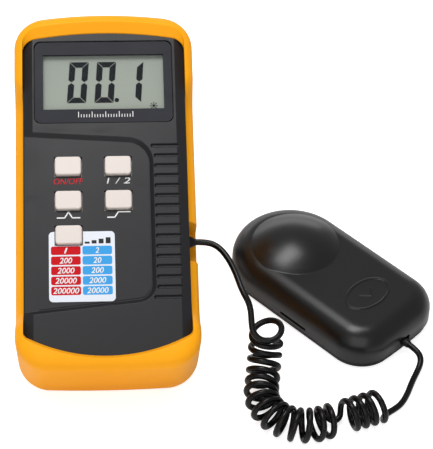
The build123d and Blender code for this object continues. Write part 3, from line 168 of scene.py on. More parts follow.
class EffectGroups:
    """Shader node groups that the finishes share, each built once."""

    def __init__(self) -> None:
        """Builds every group."""
        self.grain = self._grain_group()
        self.mottle = self._mottle_group()
        self.scuffs = self._scuff_group()

    @staticmethod
    def _start(name: str, inputs: dict[str, float], output: Role) -> Tree:
        """Makes a group with a coordinate input, number inputs and one output.

        Args:
            name: The group's name.
            inputs: Number inputs with their default values.
            output: What the group puts out.

        Returns:
            The new group, with its input and output nodes.
        """
        group = bpy.data.node_groups.new(name, "ShaderNodeTree")
        sockets = group.interface
        sockets.new_socket("Coordinates", in_out="INPUT", socket_type="NodeSocketVector")
        for label, value in inputs.items():
            socket = sockets.new_socket(label, in_out="INPUT", socket_type="NodeSocketFloat")
            socket.default_value = value
        sockets.new_socket(output.value, in_out="OUTPUT", socket_type="NodeSocketFloat")
        group.nodes.new("NodeGroupInput")
        group.nodes.new("NodeGroupOutput")
        return group

    @staticmethod
    def _end(group: Tree, result: Socket) -> Tree:
        """Links a result to the group's output and returns the group."""
        group.links.new(result, group.nodes["Group Output"].inputs[0])
        return group

    def _grain_group(self) -> Tree:
        """Fine moulded grain: small cells broken up by noise.

        Returns:
            The group.
        """
        group = self._start("moulded_grain", {"Scale": 900.0, "Breakup": 0.4}, Role.HEIGHT)
        source = group.nodes["Group Input"].outputs
        spread = {"Vector": source["Coordinates"], "Scale": source["Scale"]}
        cells = add_node(group, "ShaderNodeTexVoronoi", spread)
        noise = add_node(group, "ShaderNodeTexNoise", spread | {"Detail": 4.0})
        sides = {"A": cells.outputs["Distance"], "B": noise.outputs["Fac"]}
        mix = add_node(group, "ShaderNodeMix", sides | {"Factor": source["Breakup"]})
        return self._end(group, mix.outputs["Result"])

    def _mottle_group(self) -> Tree:
        """Broad, soft unevenness of a moulded or handled surface.

        Returns:
            The group.
        """
        group = self._start("soft_mottle", {"Scale": 40.0, "Contrast": 0.5}, Role.MASK)
        source = group.nodes["Group Input"].outputs
        spread = {"Vector": source["Coordinates"], "Scale": source["Scale"]}
        detail = {"Detail": 5.0, "Roughness": 0.6}
        noise = add_node(group, "ShaderNodeTexNoise", spread | detail)
        middle = 0.5
        swing = add_math(group, "SUBTRACT", noise.outputs["Fac"], middle)
        gain = add_math(group, "MULTIPLY_ADD", swing.outputs[0], source["Contrast"], middle)
        gain.use_clamp = True
        return self._end(group, gain.outputs[0])

    def _scuff_group(self) -> Tree:
        """Thin, sparse handling scuffs: stretched noise cut to its peaks.

        Returns:
            The group.
        """
        group = self._start("handling_scuffs", {"Scale": 120.0, "Amount": 0.3}, Role.MASK)
        source = group.nodes["Group Input"].outputs
        slant = {"Rotation": (0.4, 0.7, 0.9), "Scale": (0.15, 1.0, 1.0)}
        stretch = add_node(group, "ShaderNodeMapping", slant | {"Vector": source["Coordinates"]})
        spread = {"Vector": stretch.outputs["Vector"], "Scale": source["Scale"]}
        noise = add_node(group, "ShaderNodeTexNoise", spread | {"Detail": 6.0})
        peaks = {"Value": noise.outputs["Fac"], "From Min": 0.62, "From Max": 0.8}
        cut = add_node(group, "ShaderNodeMapRange", peaks)
        level = add_math(group, "MULTIPLY", cut.outputs["Result"], source["Amount"])
        return self._end(group, level.outputs[0])


EFFECTS = EffectGroups()


def start_material(name: str) -> tuple[Material, Tree, bpy.types.Node]:
    """Makes a node material with an untouched Principled shader.

    Args:
        name: The material's name.

    Returns:
        The material, its node tree and its shader.
    """
    material = bpy.data.materials.new(name)
    material.use_nodes = True
    tree = material.node_tree
    return material, tree, tree.nodes["Principled BSDF"]


def place_effect(tree: Tree, group: Tree, *values: float) -> Socket:
    """Puts a shared effect in a material, on Object coordinates.

    Args:
        tree: The material's node tree.
        group: The effect's node group.
        values: Numbers for the group's inputs after the coordinates.

    Returns:
        The effect's output socket.
    """
    places = tree.nodes.get("Texture Coordinate") or tree.nodes.new("ShaderNodeTexCoord")
    effect = tree.nodes.new("ShaderNodeGroup")
    effect.node_tree = group
    set_inputs(tree, effect, dict(enumerate((places.outputs["Object"], *values))))
    return effect.outputs[0]


def blend_colors(tree: Tree, mask: Socket, low: Color, high: Color) -> Socket:
    """Mixes two colours by a mask.

    Args:
        tree: The node tree that takes the mix.
        mask: Where the second colour shows.
        low: Colour where the mask is 0.
        high: Colour where the mask is 1.

    Returns:
        The mix's colour output.
    """
    mix = tree.nodes.new("ShaderNodeMix")
    mix.data_type = "RGBA"
    set_inputs(tree, mix, {"A": (*low, 1.0), "B": (*high, 1.0), "Factor": mask})
    return mix.outputs["Result"]


def range_value(tree: Tree, mask: Socket, low: float, high: float) -> Socket:
    """Maps a mask to a range of numbers, such as roughness, and returns the output."""
    limits = {"To Min": low, "To Max": high, "Value": mask}
    return add_node(tree, "ShaderNodeMapRange", limits).outputs["Result"]


def shaded(color: Color, share: float) -> Color:
    """A share of a colour."""
    return tuple(part * share for part in color)


@dataclass(frozen=True)
class MouldedFinish:
    """Moulded plastic or rubber: mottled colour, uneven gloss, fine grain and a few scuffs.

    The mottling is given by its scale and its contrast, here and in the finishes below.
    """

    name: str
    color: Color
    shade: Color
    roughness: float = 0.5
    gloss_swing: float = 0.08
    grain_scale: float = 1500.0
    grain_breakup: float = 0.5
    grain_depth: float = 0.00002
    grain_strength: float = 0.25
    mottle: Place = (45.0, 1.1)
    scuffs: float = 0.25
    scuff_scale: float = 260.0
    scuff_dulling: float = 0.3
    specular: float = 0.5
    edge: float = 0.0
    edge_samples: int = 6

    def normal(self, tree: Tree) -> Socket:
        """Normal of the fine grain, over edges rounded by `edge` metres to catch the light.

        Args:
            tree: The material's node tree.

        Returns:
            The normal's output.
        """
        grain = place_effect(tree, EFFECTS.grain, self.grain_scale, self.grain_breakup)
        inputs = {"Height": grain, "Strength": self.grain_strength, "Distance": self.grain_depth}
        if self.edge > 0:
            rounding = add_node(tree, "ShaderNodeBevel", {"Radius": self.edge})
            rounding.samples = self.edge_samples
            inputs["Normal"] = rounding.outputs["Normal"]
        return add_node(tree, "ShaderNodeBump", inputs).outputs["Normal"]

    def build(self) -> Material:
        """Makes the material.

        Returns:
            The material.
        """
        material, tree, shader = start_material(self.name)
        mottle = place_effect(tree, EFFECTS.mottle, *self.mottle)
        scuffs = place_effect(tree, EFFECTS.scuffs, self.scuff_scale, self.scuffs)
        low, high = self.roughness - self.gloss_swing, self.roughness + self.gloss_swing
        gloss = range_value(tree, mottle, low, high)
        dulled = add_math(tree, "MULTIPLY_ADD", scuffs, self.scuff_dulling, gloss)
        set_inputs(tree, shader, {
            "Base Color": blend_colors(tree, mottle, self.color, self.shade),
            "Roughness": dulled.outputs[0],
            "Specular IOR Level": self.specular,
            "Normal": self.normal(tree),
        })
        return material


@dataclass(frozen=True)
class MetalFinish:
    """Turned or stamped metal with fine brushing."""

    name: str
    color: Color
    roughness: float = 0.35
    brush_scale: float = 900.0
    brush_shade: float = 0.8
    brush_dulling: float = 0.2

    def build(self) -> Material:
        """Makes the material.

        Returns:
            The material.
        """
        material, tree, shader = start_material(self.name)
        brushing = place_effect(tree, EFFECTS.scuffs, self.brush_scale, 1.0)
        dark = shaded(self.color, self.brush_shade)
        dull = self.roughness + self.brush_dulling
        set_inputs(tree, shader, {
            "Base Color": blend_colors(tree, brushing, self.color, dark),
            "Roughness": range_value(tree, brushing, self.roughness, dull),
            "Metallic": 1.0,
        })
        return material


@dataclass(frozen=True)
class InkFinish:
    """Screen-printed ink: nearly flat colour with a faint unevenness."""

    name: str
    color: Color
    roughness: float = 0.55
    specular: float = 0.2
    mottle: Place = (700.0, 0.8)
    wear: float = 0.9

    def build(self) -> Material:
        """Makes the material.

        Returns:
            The material.
        """
        material, tree, shader = start_material(self.name)
        mottle = place_effect(tree, EFFECTS.mottle, *self.mottle)
        set_inputs(tree, shader, {
            "Base Color": blend_colors(tree, mottle, self.color, shaded(self.color, self.wear)),
            "Roughness": self.roughness,
            "Specular IOR Level": self.specular,
        })
        return material


@dataclass(frozen=True)
class ClearFinish:
    """Thin clear plastic over the display: faint haze and a soft gloss."""

    name: str
    color: Color
    shade: Color
    alpha: float = 0.02
    specular: float = 0.3
    gloss: Place = (0.2, 0.3)
    mottle: Place = (25.0, 0.8)

    def build(self) -> Material:
        """Makes the material.

        Returns:
            The material.
        """
        material, tree, shader = start_material(self.name)
        mottle = place_effect(tree, EFFECTS.mottle, *self.mottle)
        set_inputs(tree, shader, {
            "Base Color": blend_colors(tree, mottle, self.color, self.shade),
            "Roughness": range_value(tree, mottle, *self.gloss),
            "Alpha": self.alpha,
            "Specular IOR Level": self.specular,
        })
        return material


@dataclass(frozen=True)
class LiquidCrystalFinish:
    """Grey-green display glass, with mottled painted shade towards its upper end."""

    name: str
    # light is the glass's own colour; dark is the painted shade colour at its upper end.
    light: Color
    dark: Color
    low: float
    high: float
    roughness: float = 0.45
    specular: float = 0.2
    mottle: Place = (30.0, 0.5)

    def build(self) -> Material:
        """Makes the material, with painted shade graded along the frame's Y between two places.

        Returns:
            The material.
        """
        material, tree, shader = start_material(self.name)
        mottle = place_effect(tree, EFFECTS.mottle, *self.mottle)
        places = tree.nodes["Texture Coordinate"].outputs["Object"]
        # Painted shade: a mottled grade along Y darkens the glass towards its upper end.
        split = add_node(tree, "ShaderNodeSeparateXYZ", {"Vector": places})
        span = {"Value": split.outputs["Y"], "From Min": self.low, "From Max": self.high}
        painted_shade_grade = add_node(tree, "ShaderNodeMapRange", span)
        mask = add_math(tree, "MULTIPLY", painted_shade_grade.outputs["Result"], mottle)
        set_inputs(tree, shader, {
            "Base Color": blend_colors(tree, mask.outputs[0], self.light, self.dark),
            "Roughness": self.roughness,
            "Specular IOR Level": self.specular,
        })
        return material


Finish = MouldedFinish | MetalFinish | InkFinish | ClearFinish | LiquidCrystalFinish


def dress(finish: Finish, *nodes: str) -> None:
    """Gives CAD nodes one material and reports them.

    Args:
        finish: What the material is made from.
        nodes: The nodes' names.
    """
    material = finish.build()
    for node in nodes:
        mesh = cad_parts[node].data
        mesh.materials.clear()
        mesh.materials.append(material)
        log.info("dressed %s with %s", node, material.name)


@dataclass(frozen=True)
class MeterFrame:
    """The leaning meter's own directions: across, along and out of its face, in millimetres."""

    tilt: float = 27.5
    foot_x: float = -48.1
    foot_y: float = -54.93
    back_radius: float = 8.0

    def matrix(self) -> Matrix:
        """Turns face millimetres into the frame's metres.

        Returns:
            The matrix that does it.
        """
        lean = math.radians(self.tilt)
        lift = self.back_radius * (1 - math.sin(lean) - math.cos(lean))
        turn = Matrix.Rotation(lean, 4, "X")
        move = Matrix.Translation((self.foot_x, self.foot_y, lift))
        return Matrix.Scale(MM, 4) @ move @ turn


@dataclass(frozen=True)
class Lettering:
    """Look of printed letters: height, lean, and stroke thickening as a share of the height."""

    height: float
    slant: float
    weight: float


@dataclass
class PrintLayer:
    """Flat printed shapes of one ink, drawn on the meter's face and finished as one thin piece."""

    name: str
    level: float
    thickness: float = 0.03
    body: str = "meter"
    disc_sides: int = 32
    corner_steps: int = 5
    line_overrun: float = 0.3
    weld_share: float = 0.01
    face: MeterFrame = MeterFrame()
    sheet: bmesh.types.BMesh = field(default_factory=bmesh.new)

    def polygon(self, corners: Sequence[Place]) -> list[bmesh.types.BMVert]:
        """Adds a filled outline.

        Args:
            corners: Its corners across and along the face.

        Returns:
            The corners as they were made.
        """
        made = [self.sheet.verts.new((u, v, 0.0)) for u, v in corners]
        self.sheet.faces.new(made)
        return made

    def disc(self, centre: Place, radius: float) -> None:
        """Adds a filled disc.

        Args:
            centre: Its middle.
            radius: Its radius.
        """
        bmesh.ops.create_circle(
            self.sheet, cap_ends=True, segments=self.disc_sides, radius=radius,
            matrix=Matrix.Translation((*centre, 0.0)),
        )

    def cell(self, centre: Place, width: float, height: float, corner: float) -> None:
        """Adds a rectangle with rounded corners.

        Args:
            centre: Its middle.
            width: Its size across.
            height: Its size along.
            corner: Radius of its corners.
        """
        u, v = centre
        sides = ((-1, -1), (1, -1), (1, 1), (-1, 1))
        corners = [(u + across * width / 2, v + along * height / 2) for across, along in sides]
        bmesh.ops.bevel(
            self.sheet, geom=self.polygon(corners), offset=corner, offset_type="OFFSET",
            segments=self.corner_steps, profile=0.5, affect="VERTICES", material=-1,
        )

    def line(self, places: Sequence[Place], width: float) -> None:
        """Adds a bent line of even width, whose parts overlap at its bends.

        Args:
            places: The points that its middle follows.
            width: Its width.
        """
        for start, end in zip(places, places[1:]):
            along = Vector((end[0] - start[0], end[1] - start[1])).normalized()
            side = Vector((-along.y, along.x)) * width / 2
            reach = along * width * self.line_overrun
            first, last = Vector(start) - reach, Vector(end) + reach
            self.polygon([first - side, last - side, last + side, first + side])

    def words(self, text: str, centre: Place, width: float, letters: Lettering) -> None:
        """Adds lettering, fitted to a width and a height.

        Args:
            text: What it says.
            centre: Its middle.
            width: Width of the whole line.
            letters: How its letters look.
        """
        curve = bpy.data.curves.new(self.name + "_type", "FONT")
        curve.body = text
        curve.shear = letters.slant
        curve.offset = letters.weight
        holder = add_object(self.name + "_type", curve)
        bpy.context.view_layer.update()
        drawn = holder.evaluated_get(bpy.context.evaluated_depsgraph_get())
        mesh = bpy.data.meshes.new_from_object(drawn)
        across = [vert.co.x for vert in mesh.vertices]
        along = [vert.co.y for vert in mesh.vertices]
        wide, high = max(across) - min(across), max(along) - min(along)
        middle = Vector(((min(across) + max(across)) / 2, (min(along) + max(along)) / 2, 0.0))
        fit = Matrix.Diagonal((width / wide, letters.height / high, 1.0, 1.0))
        mesh.transform(Matrix.Translation((*centre, 0.0)) @ fit @ Matrix.Translation(-middle))
        self.sheet.from_mesh(mesh)
        bpy.data.objects.remove(holder)
        bpy.data.curves.remove(curve)
        bpy.data.meshes.remove(mesh)

    def finish(self, ink: InkFinish, slot: str) -> None:
        """Gives the layer its thickness, puts it in place and has it ride on its body.

        Args:
            ink: The ink.
            slot: Name of a material slot; not used.
        """
        weld = self.thickness * self.weld_share
        bmesh.ops.remove_doubles(self.sheet, verts=self.sheet.verts, dist=weld)
        raised = bmesh.ops.extrude_face_region(self.sheet, geom=self.sheet.faces[:])
        tops = [item for item in raised["geom"] if isinstance(item, bmesh.types.BMVert)]
        bmesh.ops.translate(self.sheet, verts=tops, vec=(0.0, 0.0, self.thickness))
        bmesh.ops.translate(self.sheet, verts=self.sheet.verts, vec=(0.0, 0.0, self.level))
        bmesh.ops.recalc_face_normals(self.sheet, faces=self.sheet.faces)
        mesh = bpy.data.meshes.new(self.name)
        self.sheet.to_mesh(mesh)
        self.sheet.free()
        mesh.transform(self.face.matrix())
        mesh.materials.append(ink.build())
        piece = add_object(self.name, mesh)
        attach(piece, self.body)
        log.info("made %s: %d faces on %s", self.name, len(mesh.polygons), self.body)


@dataclass
class Holster:
    """The orange rubber boot, with its tilt stand and the stand's pins."""

    rubber: Finish = MouldedFinish(
        "holster_rubber", (1.0, 0.405, 0.005), (0.95, 0.37, 0.004), grain_scale=1900.0,
        grain_strength=0.2, mottle=(22.0, 1.1), scuffs=0.5, specular=0.16, edge=0.0005,
    )
    plastic: Finish = MouldedFinish(
        "stand_plastic", (0.03, 0.03, 0.032), (0.022, 0.022, 0.024)
    )
    steel: Finish = MetalFinish("pin_steel", (0.62, 0.62, 0.62))

    def dress(self) -> None:
        """Dresses the holster, the stand and the pins."""
        dress(self.rubber, "holster")
        dress(self.plastic, "tilt_stand")
        dress(self.steel, "stand_pins")


@dataclass
class Case:
    """The case's halves, battery door and pad, and every grommet and screw."""

    face: Finish = MouldedFinish(
        "case_face", (0.012, 0.012, 0.0142), (0.0095, 0.0095, 0.0112), roughness=0.42,
        grain_scale=2200.0, grain_strength=0.3, scuffs=0.4, specular=0.3, edge=0.0004,
    )
    back: Finish = MouldedFinish(
        "case_back", (0.032, 0.032, 0.034), (0.025, 0.025, 0.027)
    )
    grommet: Finish = MouldedFinish(
        "grommet_rubber", (0.004, 0.004, 0.0045), (0.003, 0.003, 0.0033), roughness=0.4,
        specular=0.28,
    )
    steel: Finish = MetalFinish("screw_steel", (0.66, 0.65, 0.63))
    foam: Finish = MouldedFinish(
        "pad_foam", (0.06, 0.06, 0.065), (0.03, 0.03, 0.033), roughness=0.9, grain_strength=0.8
    )

    def dress(self) -> None:
        """Dresses the case's nodes."""
        dress(self.face, "front_case")
        dress(self.back, "rear_case", "battery_door")
        dress(self.foam, "battery_pad")
        dress(self.grommet, "meter_grommet", "sensor_grommet")
        dress(self.steel, "case_screws", "board_screws", "sensor_screws")


@dataclass
class Display:
    """Bezel with its scale ticks, window, liquid-crystal glass and what it shows."""

    bezel: Finish = MouldedFinish(
        "bezel_film", (0.019, 0.02, 0.027), (0.015, 0.016, 0.022), roughness=0.55,
        grain_scale=2600.0, grain_strength=0.15, specular=0.2,
    )
    window: Finish = ClearFinish("window_clear", (0.25, 0.27, 0.26), (0.2, 0.22, 0.21))
    holder: Finish = MouldedFinish("frame_plastic", (0.1, 0.1, 0.1), (0.07, 0.07, 0.07))
    strips: Finish = MouldedFinish(
        "strip_rubber", (0.03, 0.03, 0.03), (0.02, 0.02, 0.02), roughness=0.8
    )
    # The glass's own colour, and the painted shade colour for its upper end.
    glass_unshaded: Color = (0.3, 0.33, 0.28)
    glass_painted_shade: Color = (0.225, 0.257, 0.238)
    digit_ink: Finish = InkFinish("segment_ink", (0.003, 0.0045, 0.008), specular=0.05)
    tick_ink: Finish = InkFinish("scale_ink", (0.8, 0.8, 0.8))
    shown: tuple[str, ...] = ("0", "0", "1")
    glass_top: float = 36.02
    digit_thickness: float = 0.05
    digit_left: float = -14.8
    digit_low: float = 109.9
    digit_width: float = 7.6
    digit_height: float = 17.6
    digit_pitch: float = 10.9
    digit_slant: float = 0.075
    stroke_width: float = 2.5
    stroke_gap: float = 0.16
    stroke_shoulder: float = 0.45
    dot_place: Place = (5.0, 111.0)
    dot_radius: float = 0.9
    sun_place: Place = (19.6, 108.4)
    sun_size: float = 1.5
    sun_disc: float = 0.35
    sun_rays: int = 8
    ray_start: float = 0.55
    ray_width: float = 0.2
    bezel_top: float = 38.2
    tick_low: float = 102.9
    tick_left: float = -10.2
    tick_pitch: float = 1.07
    tick_count: int = 21
    tick_group: int = 5
    tick_width: float = 0.3
    tick_corner: float = 0.05
    long_tick: float = 2.4
    short_tick: float = 1.3

    def stroke_corners(self, stroke: Stroke) -> list[Place]:
        """Corners of one bar in an upright digit whose lower left corner is at 0, 0.

        Args:
            stroke: Which bar.

        Returns:
            Its corners, anticlockwise.
        """
        wide, high, half = self.digit_width, self.digit_height, self.digit_height / 2
        thick, gap = self.stroke_width, self.stroke_gap
        if stroke in (Stroke.TOP, Stroke.BOTTOM):
            inner, top = thick + gap / 2, thick - gap
            bar = [(gap, 0.0), (wide - gap, 0.0), (wide - inner, top), (inner, top)]
            upper = stroke is Stroke.TOP
        else:
            shoulder = half - thick * self.stroke_shoulder
            bar = [
                (0.0, gap),
                (thick - gap / 2, thick),
                (thick - gap / 2, shoulder),
                (thick / 2, half - gap),
                (0.0, shoulder),
            ]
            upper = stroke in (Stroke.UPPER_LEFT, Stroke.UPPER_RIGHT)
        if upper:
            bar = [(u, high - v) for u, v in reversed(bar)]
        if stroke in (Stroke.LOWER_RIGHT, Stroke.UPPER_RIGHT):
            bar = [(wide - u, v) for u, v in reversed(bar)]
        return bar

    def sun(self, layer: PrintLayer) -> None:
        """Adds a small sun in the display's corner: a disc with rays.

        Args:
            layer: The ink layer that takes it.
        """
        u, v = self.sun_place
        layer.disc(self.sun_place, self.sun_size * self.sun_disc)
        for index in range(self.sun_rays):
            angle = 2 * math.pi * index / self.sun_rays
            ends = (self.sun_size * self.ray_start, self.sun_size)
            places = [(u + math.cos(angle) * end, v + math.sin(angle) * end) for end in ends]
            layer.line(places, self.sun_size * self.ray_width)

    def reading(self) -> None:
        """Prints the digits, the dot and the sun on the glass."""
        layer = PrintLayer("display_digits", self.glass_top, self.digit_thickness)
        for index, digit in enumerate(self.shown):
            left = self.digit_left + index * self.digit_pitch
            for stroke in LIT[digit]:
                corners = self.stroke_corners(stroke)
                layer.polygon(
                    [(left + u + v * self.digit_slant, self.digit_low + v) for u, v in corners]
                )
        layer.disc(self.dot_place, self.dot_radius)
        self.sun(layer)
        layer.finish(self.digit_ink, "display_glass")

    def scale(self) -> None:
        """Prints a plain scale on the bezel, with a longer tick at each group's start."""
        layer = PrintLayer("bezel_scale", self.bezel_top)
        for index in range(self.tick_count):
            height = self.short_tick if index % self.tick_group else self.long_tick
            middle = (self.tick_left + index * self.tick_pitch, self.tick_low + height / 2)
            layer.cell(middle, self.tick_width, height, self.tick_corner)
        layer.finish(self.tick_ink, "bezel_plastic")

    def build(self) -> None:
        """Dresses the display's nodes and prints what they show."""
        low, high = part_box("lcd_glass")
        crystal = LiquidCrystalFinish(
            "display_glass", self.glass_unshaded, self.glass_painted_shade, low.y, high.y
        )
        dress(crystal, "lcd_glass")
        dress(self.window, "lcd_window")
        dress(self.bezel, "lcd_bezel")
        dress(self.holder, "lcd_frame")
        dress(self.strips, "lcd_connectors")
        self.reading()
        self.scale()


SIGN_WIDTHS: dict[Mark, float] = {Mark.ON_OFF: 11.4, Mark.UNITS: 9.2}
SIGN_LINES: dict[Mark, tuple[Place, ...]] = {
    Mark.PEAK: ((-4.4, -1.1), (-1.5, -1.1), (0.0, 1.3), (1.5, -1.1), (4.4, -1.1)),
    Mark.HOLD: ((-4.4, -1.1), (-1.6, -1.1), (-0.2, 1.1), (4.4, 1.1)),
}


@dataclass
class Keypad:
    """Key panel, five keys, their printed signs and the range label."""

    film: Finish = MouldedFinish(
        "panel_film", (0.0125, 0.0125, 0.0148), (0.0098, 0.0098, 0.0116), roughness=0.42,
        grain_scale=3000.0, specular=0.3,
    )
    cap: Finish = MouldedFinish(
        "key_plastic", (0.7, 0.63, 0.585), (0.66, 0.59, 0.545), roughness=0.42,
        grain_scale=2500.0, grain_strength=0.12, scuffs=0.3, edge=0.0005,
    )
    paper: Finish = MouldedFinish(
        "label_film", (0.72, 0.75, 0.82), (0.68, 0.71, 0.78), roughness=0.35,
        grain_strength=0.06, scuffs=0.1,
    )
    white_ink: Finish = InkFinish("sign_ink", (0.82, 0.82, 0.82))
    red_ink: Finish = InkFinish("power_ink", (0.62, 0.02, 0.03))
    black_ink: Finish = InkFinish("range_ink", (0.02, 0.02, 0.02))
    first_ink: Finish = InkFinish("first_ink", (0.56, 0.005, 0.011), specular=0.1)
    second_ink: Finish = InkFinish("second_ink", (0.04, 0.34, 0.74))
    figure_ink: Finish = InkFinish("figure_ink", (0.88, 0.88, 0.9))
    keys: tuple[str, ...] = ("key_power", "key_unit", "key_peak", "key_hold", "key_range")
    left_u: float = -14.6
    right_u: float = 4.9
    sign_v: Place = (76.4, 62.4)
    words_shift: float = 0.1
    sign_letters: Lettering = Lettering(height=2.5, slant=0.15, weight=0.002)
    sign_stroke: float = 0.5
    ranges_place: Place = (-3.5, 51.8)
    bar_count: int = 4
    bar_drop: float = 1.2
    bar_height: float = 0.8
    bar_growth: float = 0.55
    bar_pitch: float = 2.7
    bar_width: float = 1.9
    bar_corner: float = 0.15
    panel_top: float = 37.4
    label_top: float = 37.6
    cell_left_u: float = -15.8
    cell_right_u: float = -3.7
    cell_width: float = 11.4
    cell_height: float = 3.45
    cell_corner: float = 0.75
    cell_first_v: float = 47.9
    cell_pitch: float = 4.05
    left_numbers: tuple[str, ...] = ("1", "200", "2000", "20000", "200000")
    right_numbers: tuple[str, ...] = ("2", "20", "200", "2000", "20000")
    figures_top: float = 37.63
    figure_width: float = 1.72
    figure_space: float = 0.25
    figures: Lettering = Lettering(height=2.35, slant=0.2, weight=0.016)

    def sign(self, layer: PrintLayer, mark: Mark, centre: Place) -> None:
        """Draws one sign: words, a bent line or rising bars.

        Args:
            layer: The ink layer that takes it.
            mark: Which sign.
            centre: Its middle.
        """
        u, v = centre
        if mark in SIGN_WIDTHS:
            layer.words(mark.value, centre, SIGN_WIDTHS[mark], self.sign_letters)
        elif mark in SIGN_LINES:
            layer.line([(u + du, v + dv) for du, dv in SIGN_LINES[mark]], self.sign_stroke)
        else:
            for step in range(self.bar_count):
                height = self.bar_height + self.bar_growth * step
                across = u + (step - (self.bar_count - 1) / 2) * self.bar_pitch
                middle = (across, v - self.bar_drop + height / 2)
                layer.cell(middle, self.bar_width, height, self.bar_corner)

    def signs(self) -> None:
        """Prints the signs beside the keys."""
        upper, lower = self.sign_v
        white = PrintLayer("key_signs", self.panel_top)
        self.sign(white, Mark.UNITS, (self.right_u + self.words_shift, upper))
        self.sign(white, Mark.PEAK, (self.left_u, lower))
        self.sign(white, Mark.HOLD, (self.right_u, lower))
        white.finish(self.white_ink, "panel_film")
        red = PrintLayer("power_sign", self.panel_top)
        self.sign(red, Mark.ON_OFF, (self.left_u + self.words_shift, upper))
        red.finish(self.red_ink, "panel_film")
        black = PrintLayer("range_sign", self.label_top)
        self.sign(black, Mark.RANGES, self.ranges_place)
        black.finish(self.black_ink, "label_film")

    def label(self) -> None:
        """Prints the range label's two columns of cells and their figures."""
        columns = (
            ("first_cells", self.cell_left_u, self.first_ink, self.left_numbers),
            ("second_cells", self.cell_right_u, self.second_ink, self.right_numbers),
        )
        count = len(self.left_numbers)
        rows = [self.cell_first_v - index * self.cell_pitch for index in range(count)]
        figures = PrintLayer("label_figures", self.figures_top)
        for name, u, ink, numbers in columns:
            cells = PrintLayer(name, self.label_top)
            for v, text in zip(rows, numbers):
                cells.cell((u, v), self.cell_width, self.cell_height, self.cell_corner)
                width = self.figure_width * len(text) - self.figure_space
                figures.words(text, (u, v), width, self.figures)
            cells.finish(ink, "label_film")
        figures.finish(self.figure_ink, "label_film")

    def build(self) -> None:
        """Dresses the keypad's nodes and prints the signs and the label."""
        dress(self.film, "key_panel")
        dress(self.cap, *self.keys)
        dress(self.paper, "range_label")
        self.signs()
        self.label()


@dataclass
class Works:
    """What the case and the head hold: boards, their parts, wires and the battery."""

    rows: tuple[tuple[str, str, Color, Color, float], ...] = (
        ("main_board", "board_laminate", (0.02, 0.16, 0.06), (0.015, 0.11, 0.045), 0.35),
        ("key_switches", "switch_plastic", (0.04, 0.04, 0.04), (0.03, 0.03, 0.03), 0.5),
        ("converter_chip", "chip_plastic", (0.02, 0.02, 0.02), (0.03, 0.03, 0.03), 0.5),
        ("trim_pots", "pot_plastic", (0.03, 0.1, 0.4), (0.02, 0.08, 0.33), 0.5),
        ("capacitors", "capacitor_sleeve", (0.03, 0.04, 0.1), (0.02, 0.03, 0.08), 0.3),
        ("battery_snap", "snap_plastic", (0.03, 0.03, 0.03), (0.02, 0.02, 0.02), 0.5),
        ("battery_wires", "wire_sleeve", (0.5, 0.02, 0.02), (0.4, 0.015, 0.015), 0.35),
        ("battery", "battery_wrap", (0.08, 0.09, 0.1), (0.06, 0.07, 0.08), 0.3),
        ("sensor_board", "sensor_laminate", (0.02, 0.16, 0.06), (0.015, 0.11, 0.045), 0.35),
        ("sensor_wires", "sensor_wire_sleeve", (0.45, 0.02, 0.02), (0.35, 0.015, 0.015), 0.35),
        ("filter_ring", "ring_plastic", (0.03, 0.03, 0.03), (0.02, 0.02, 0.02), 0.5),
    )
    crystal: Finish = MetalFinish("crystal_can", (0.7, 0.7, 0.72))
    diode: Finish = MetalFinish("diode_can", (0.55, 0.55, 0.57))

    def dress(self) -> None:
        """Dresses the inner nodes: a name, a finish, two colours and a roughness a row."""
        for node, *look in self.rows:
            dress(MouldedFinish(*look), node)
        dress(self.crystal, "crystal")
        dress(self.diode, "photodiode")


@dataclass
class SensorHead:
    """Domed black cap over the base, the deck, its white diffuser and the filter's glass."""

    cap: Finish = MouldedFinish(
        "cap_plastic", (0.003, 0.003, 0.0036), (0.0022, 0.0022, 0.0026), roughness=0.3,
        gloss_swing=0.04, grain_scale=2400.0, grain_strength=0.12, mottle=(30.0, 1.1),
        scuffs=0.3, specular=0.42, edge=0.0006,
    )
    base: Finish = MouldedFinish(
        "base_plastic", (0.008, 0.008, 0.009), (0.006, 0.006, 0.0066), roughness=0.4, specular=0.3
    )
    dome: Finish = MouldedFinish(
        "diffuser_white", (0.85, 0.85, 0.83), (0.8, 0.8, 0.78), grain_strength=0.05
    )
    glass: Finish = MouldedFinish(
        "filter_glass", (0.3, 0.45, 0.25), (0.26, 0.4, 0.22), roughness=0.12, grain_strength=0.0
    )

    def dress(self) -> None:
        """Dresses the head's shell and what its cap uncovers."""
        dress(self.cap, "sensor_cap")
        dress(self.base, "sensor_base", "sensor_top")
        dress(self.dome, "diffuser_dome")
        dress(self.glass, "filter_glass")


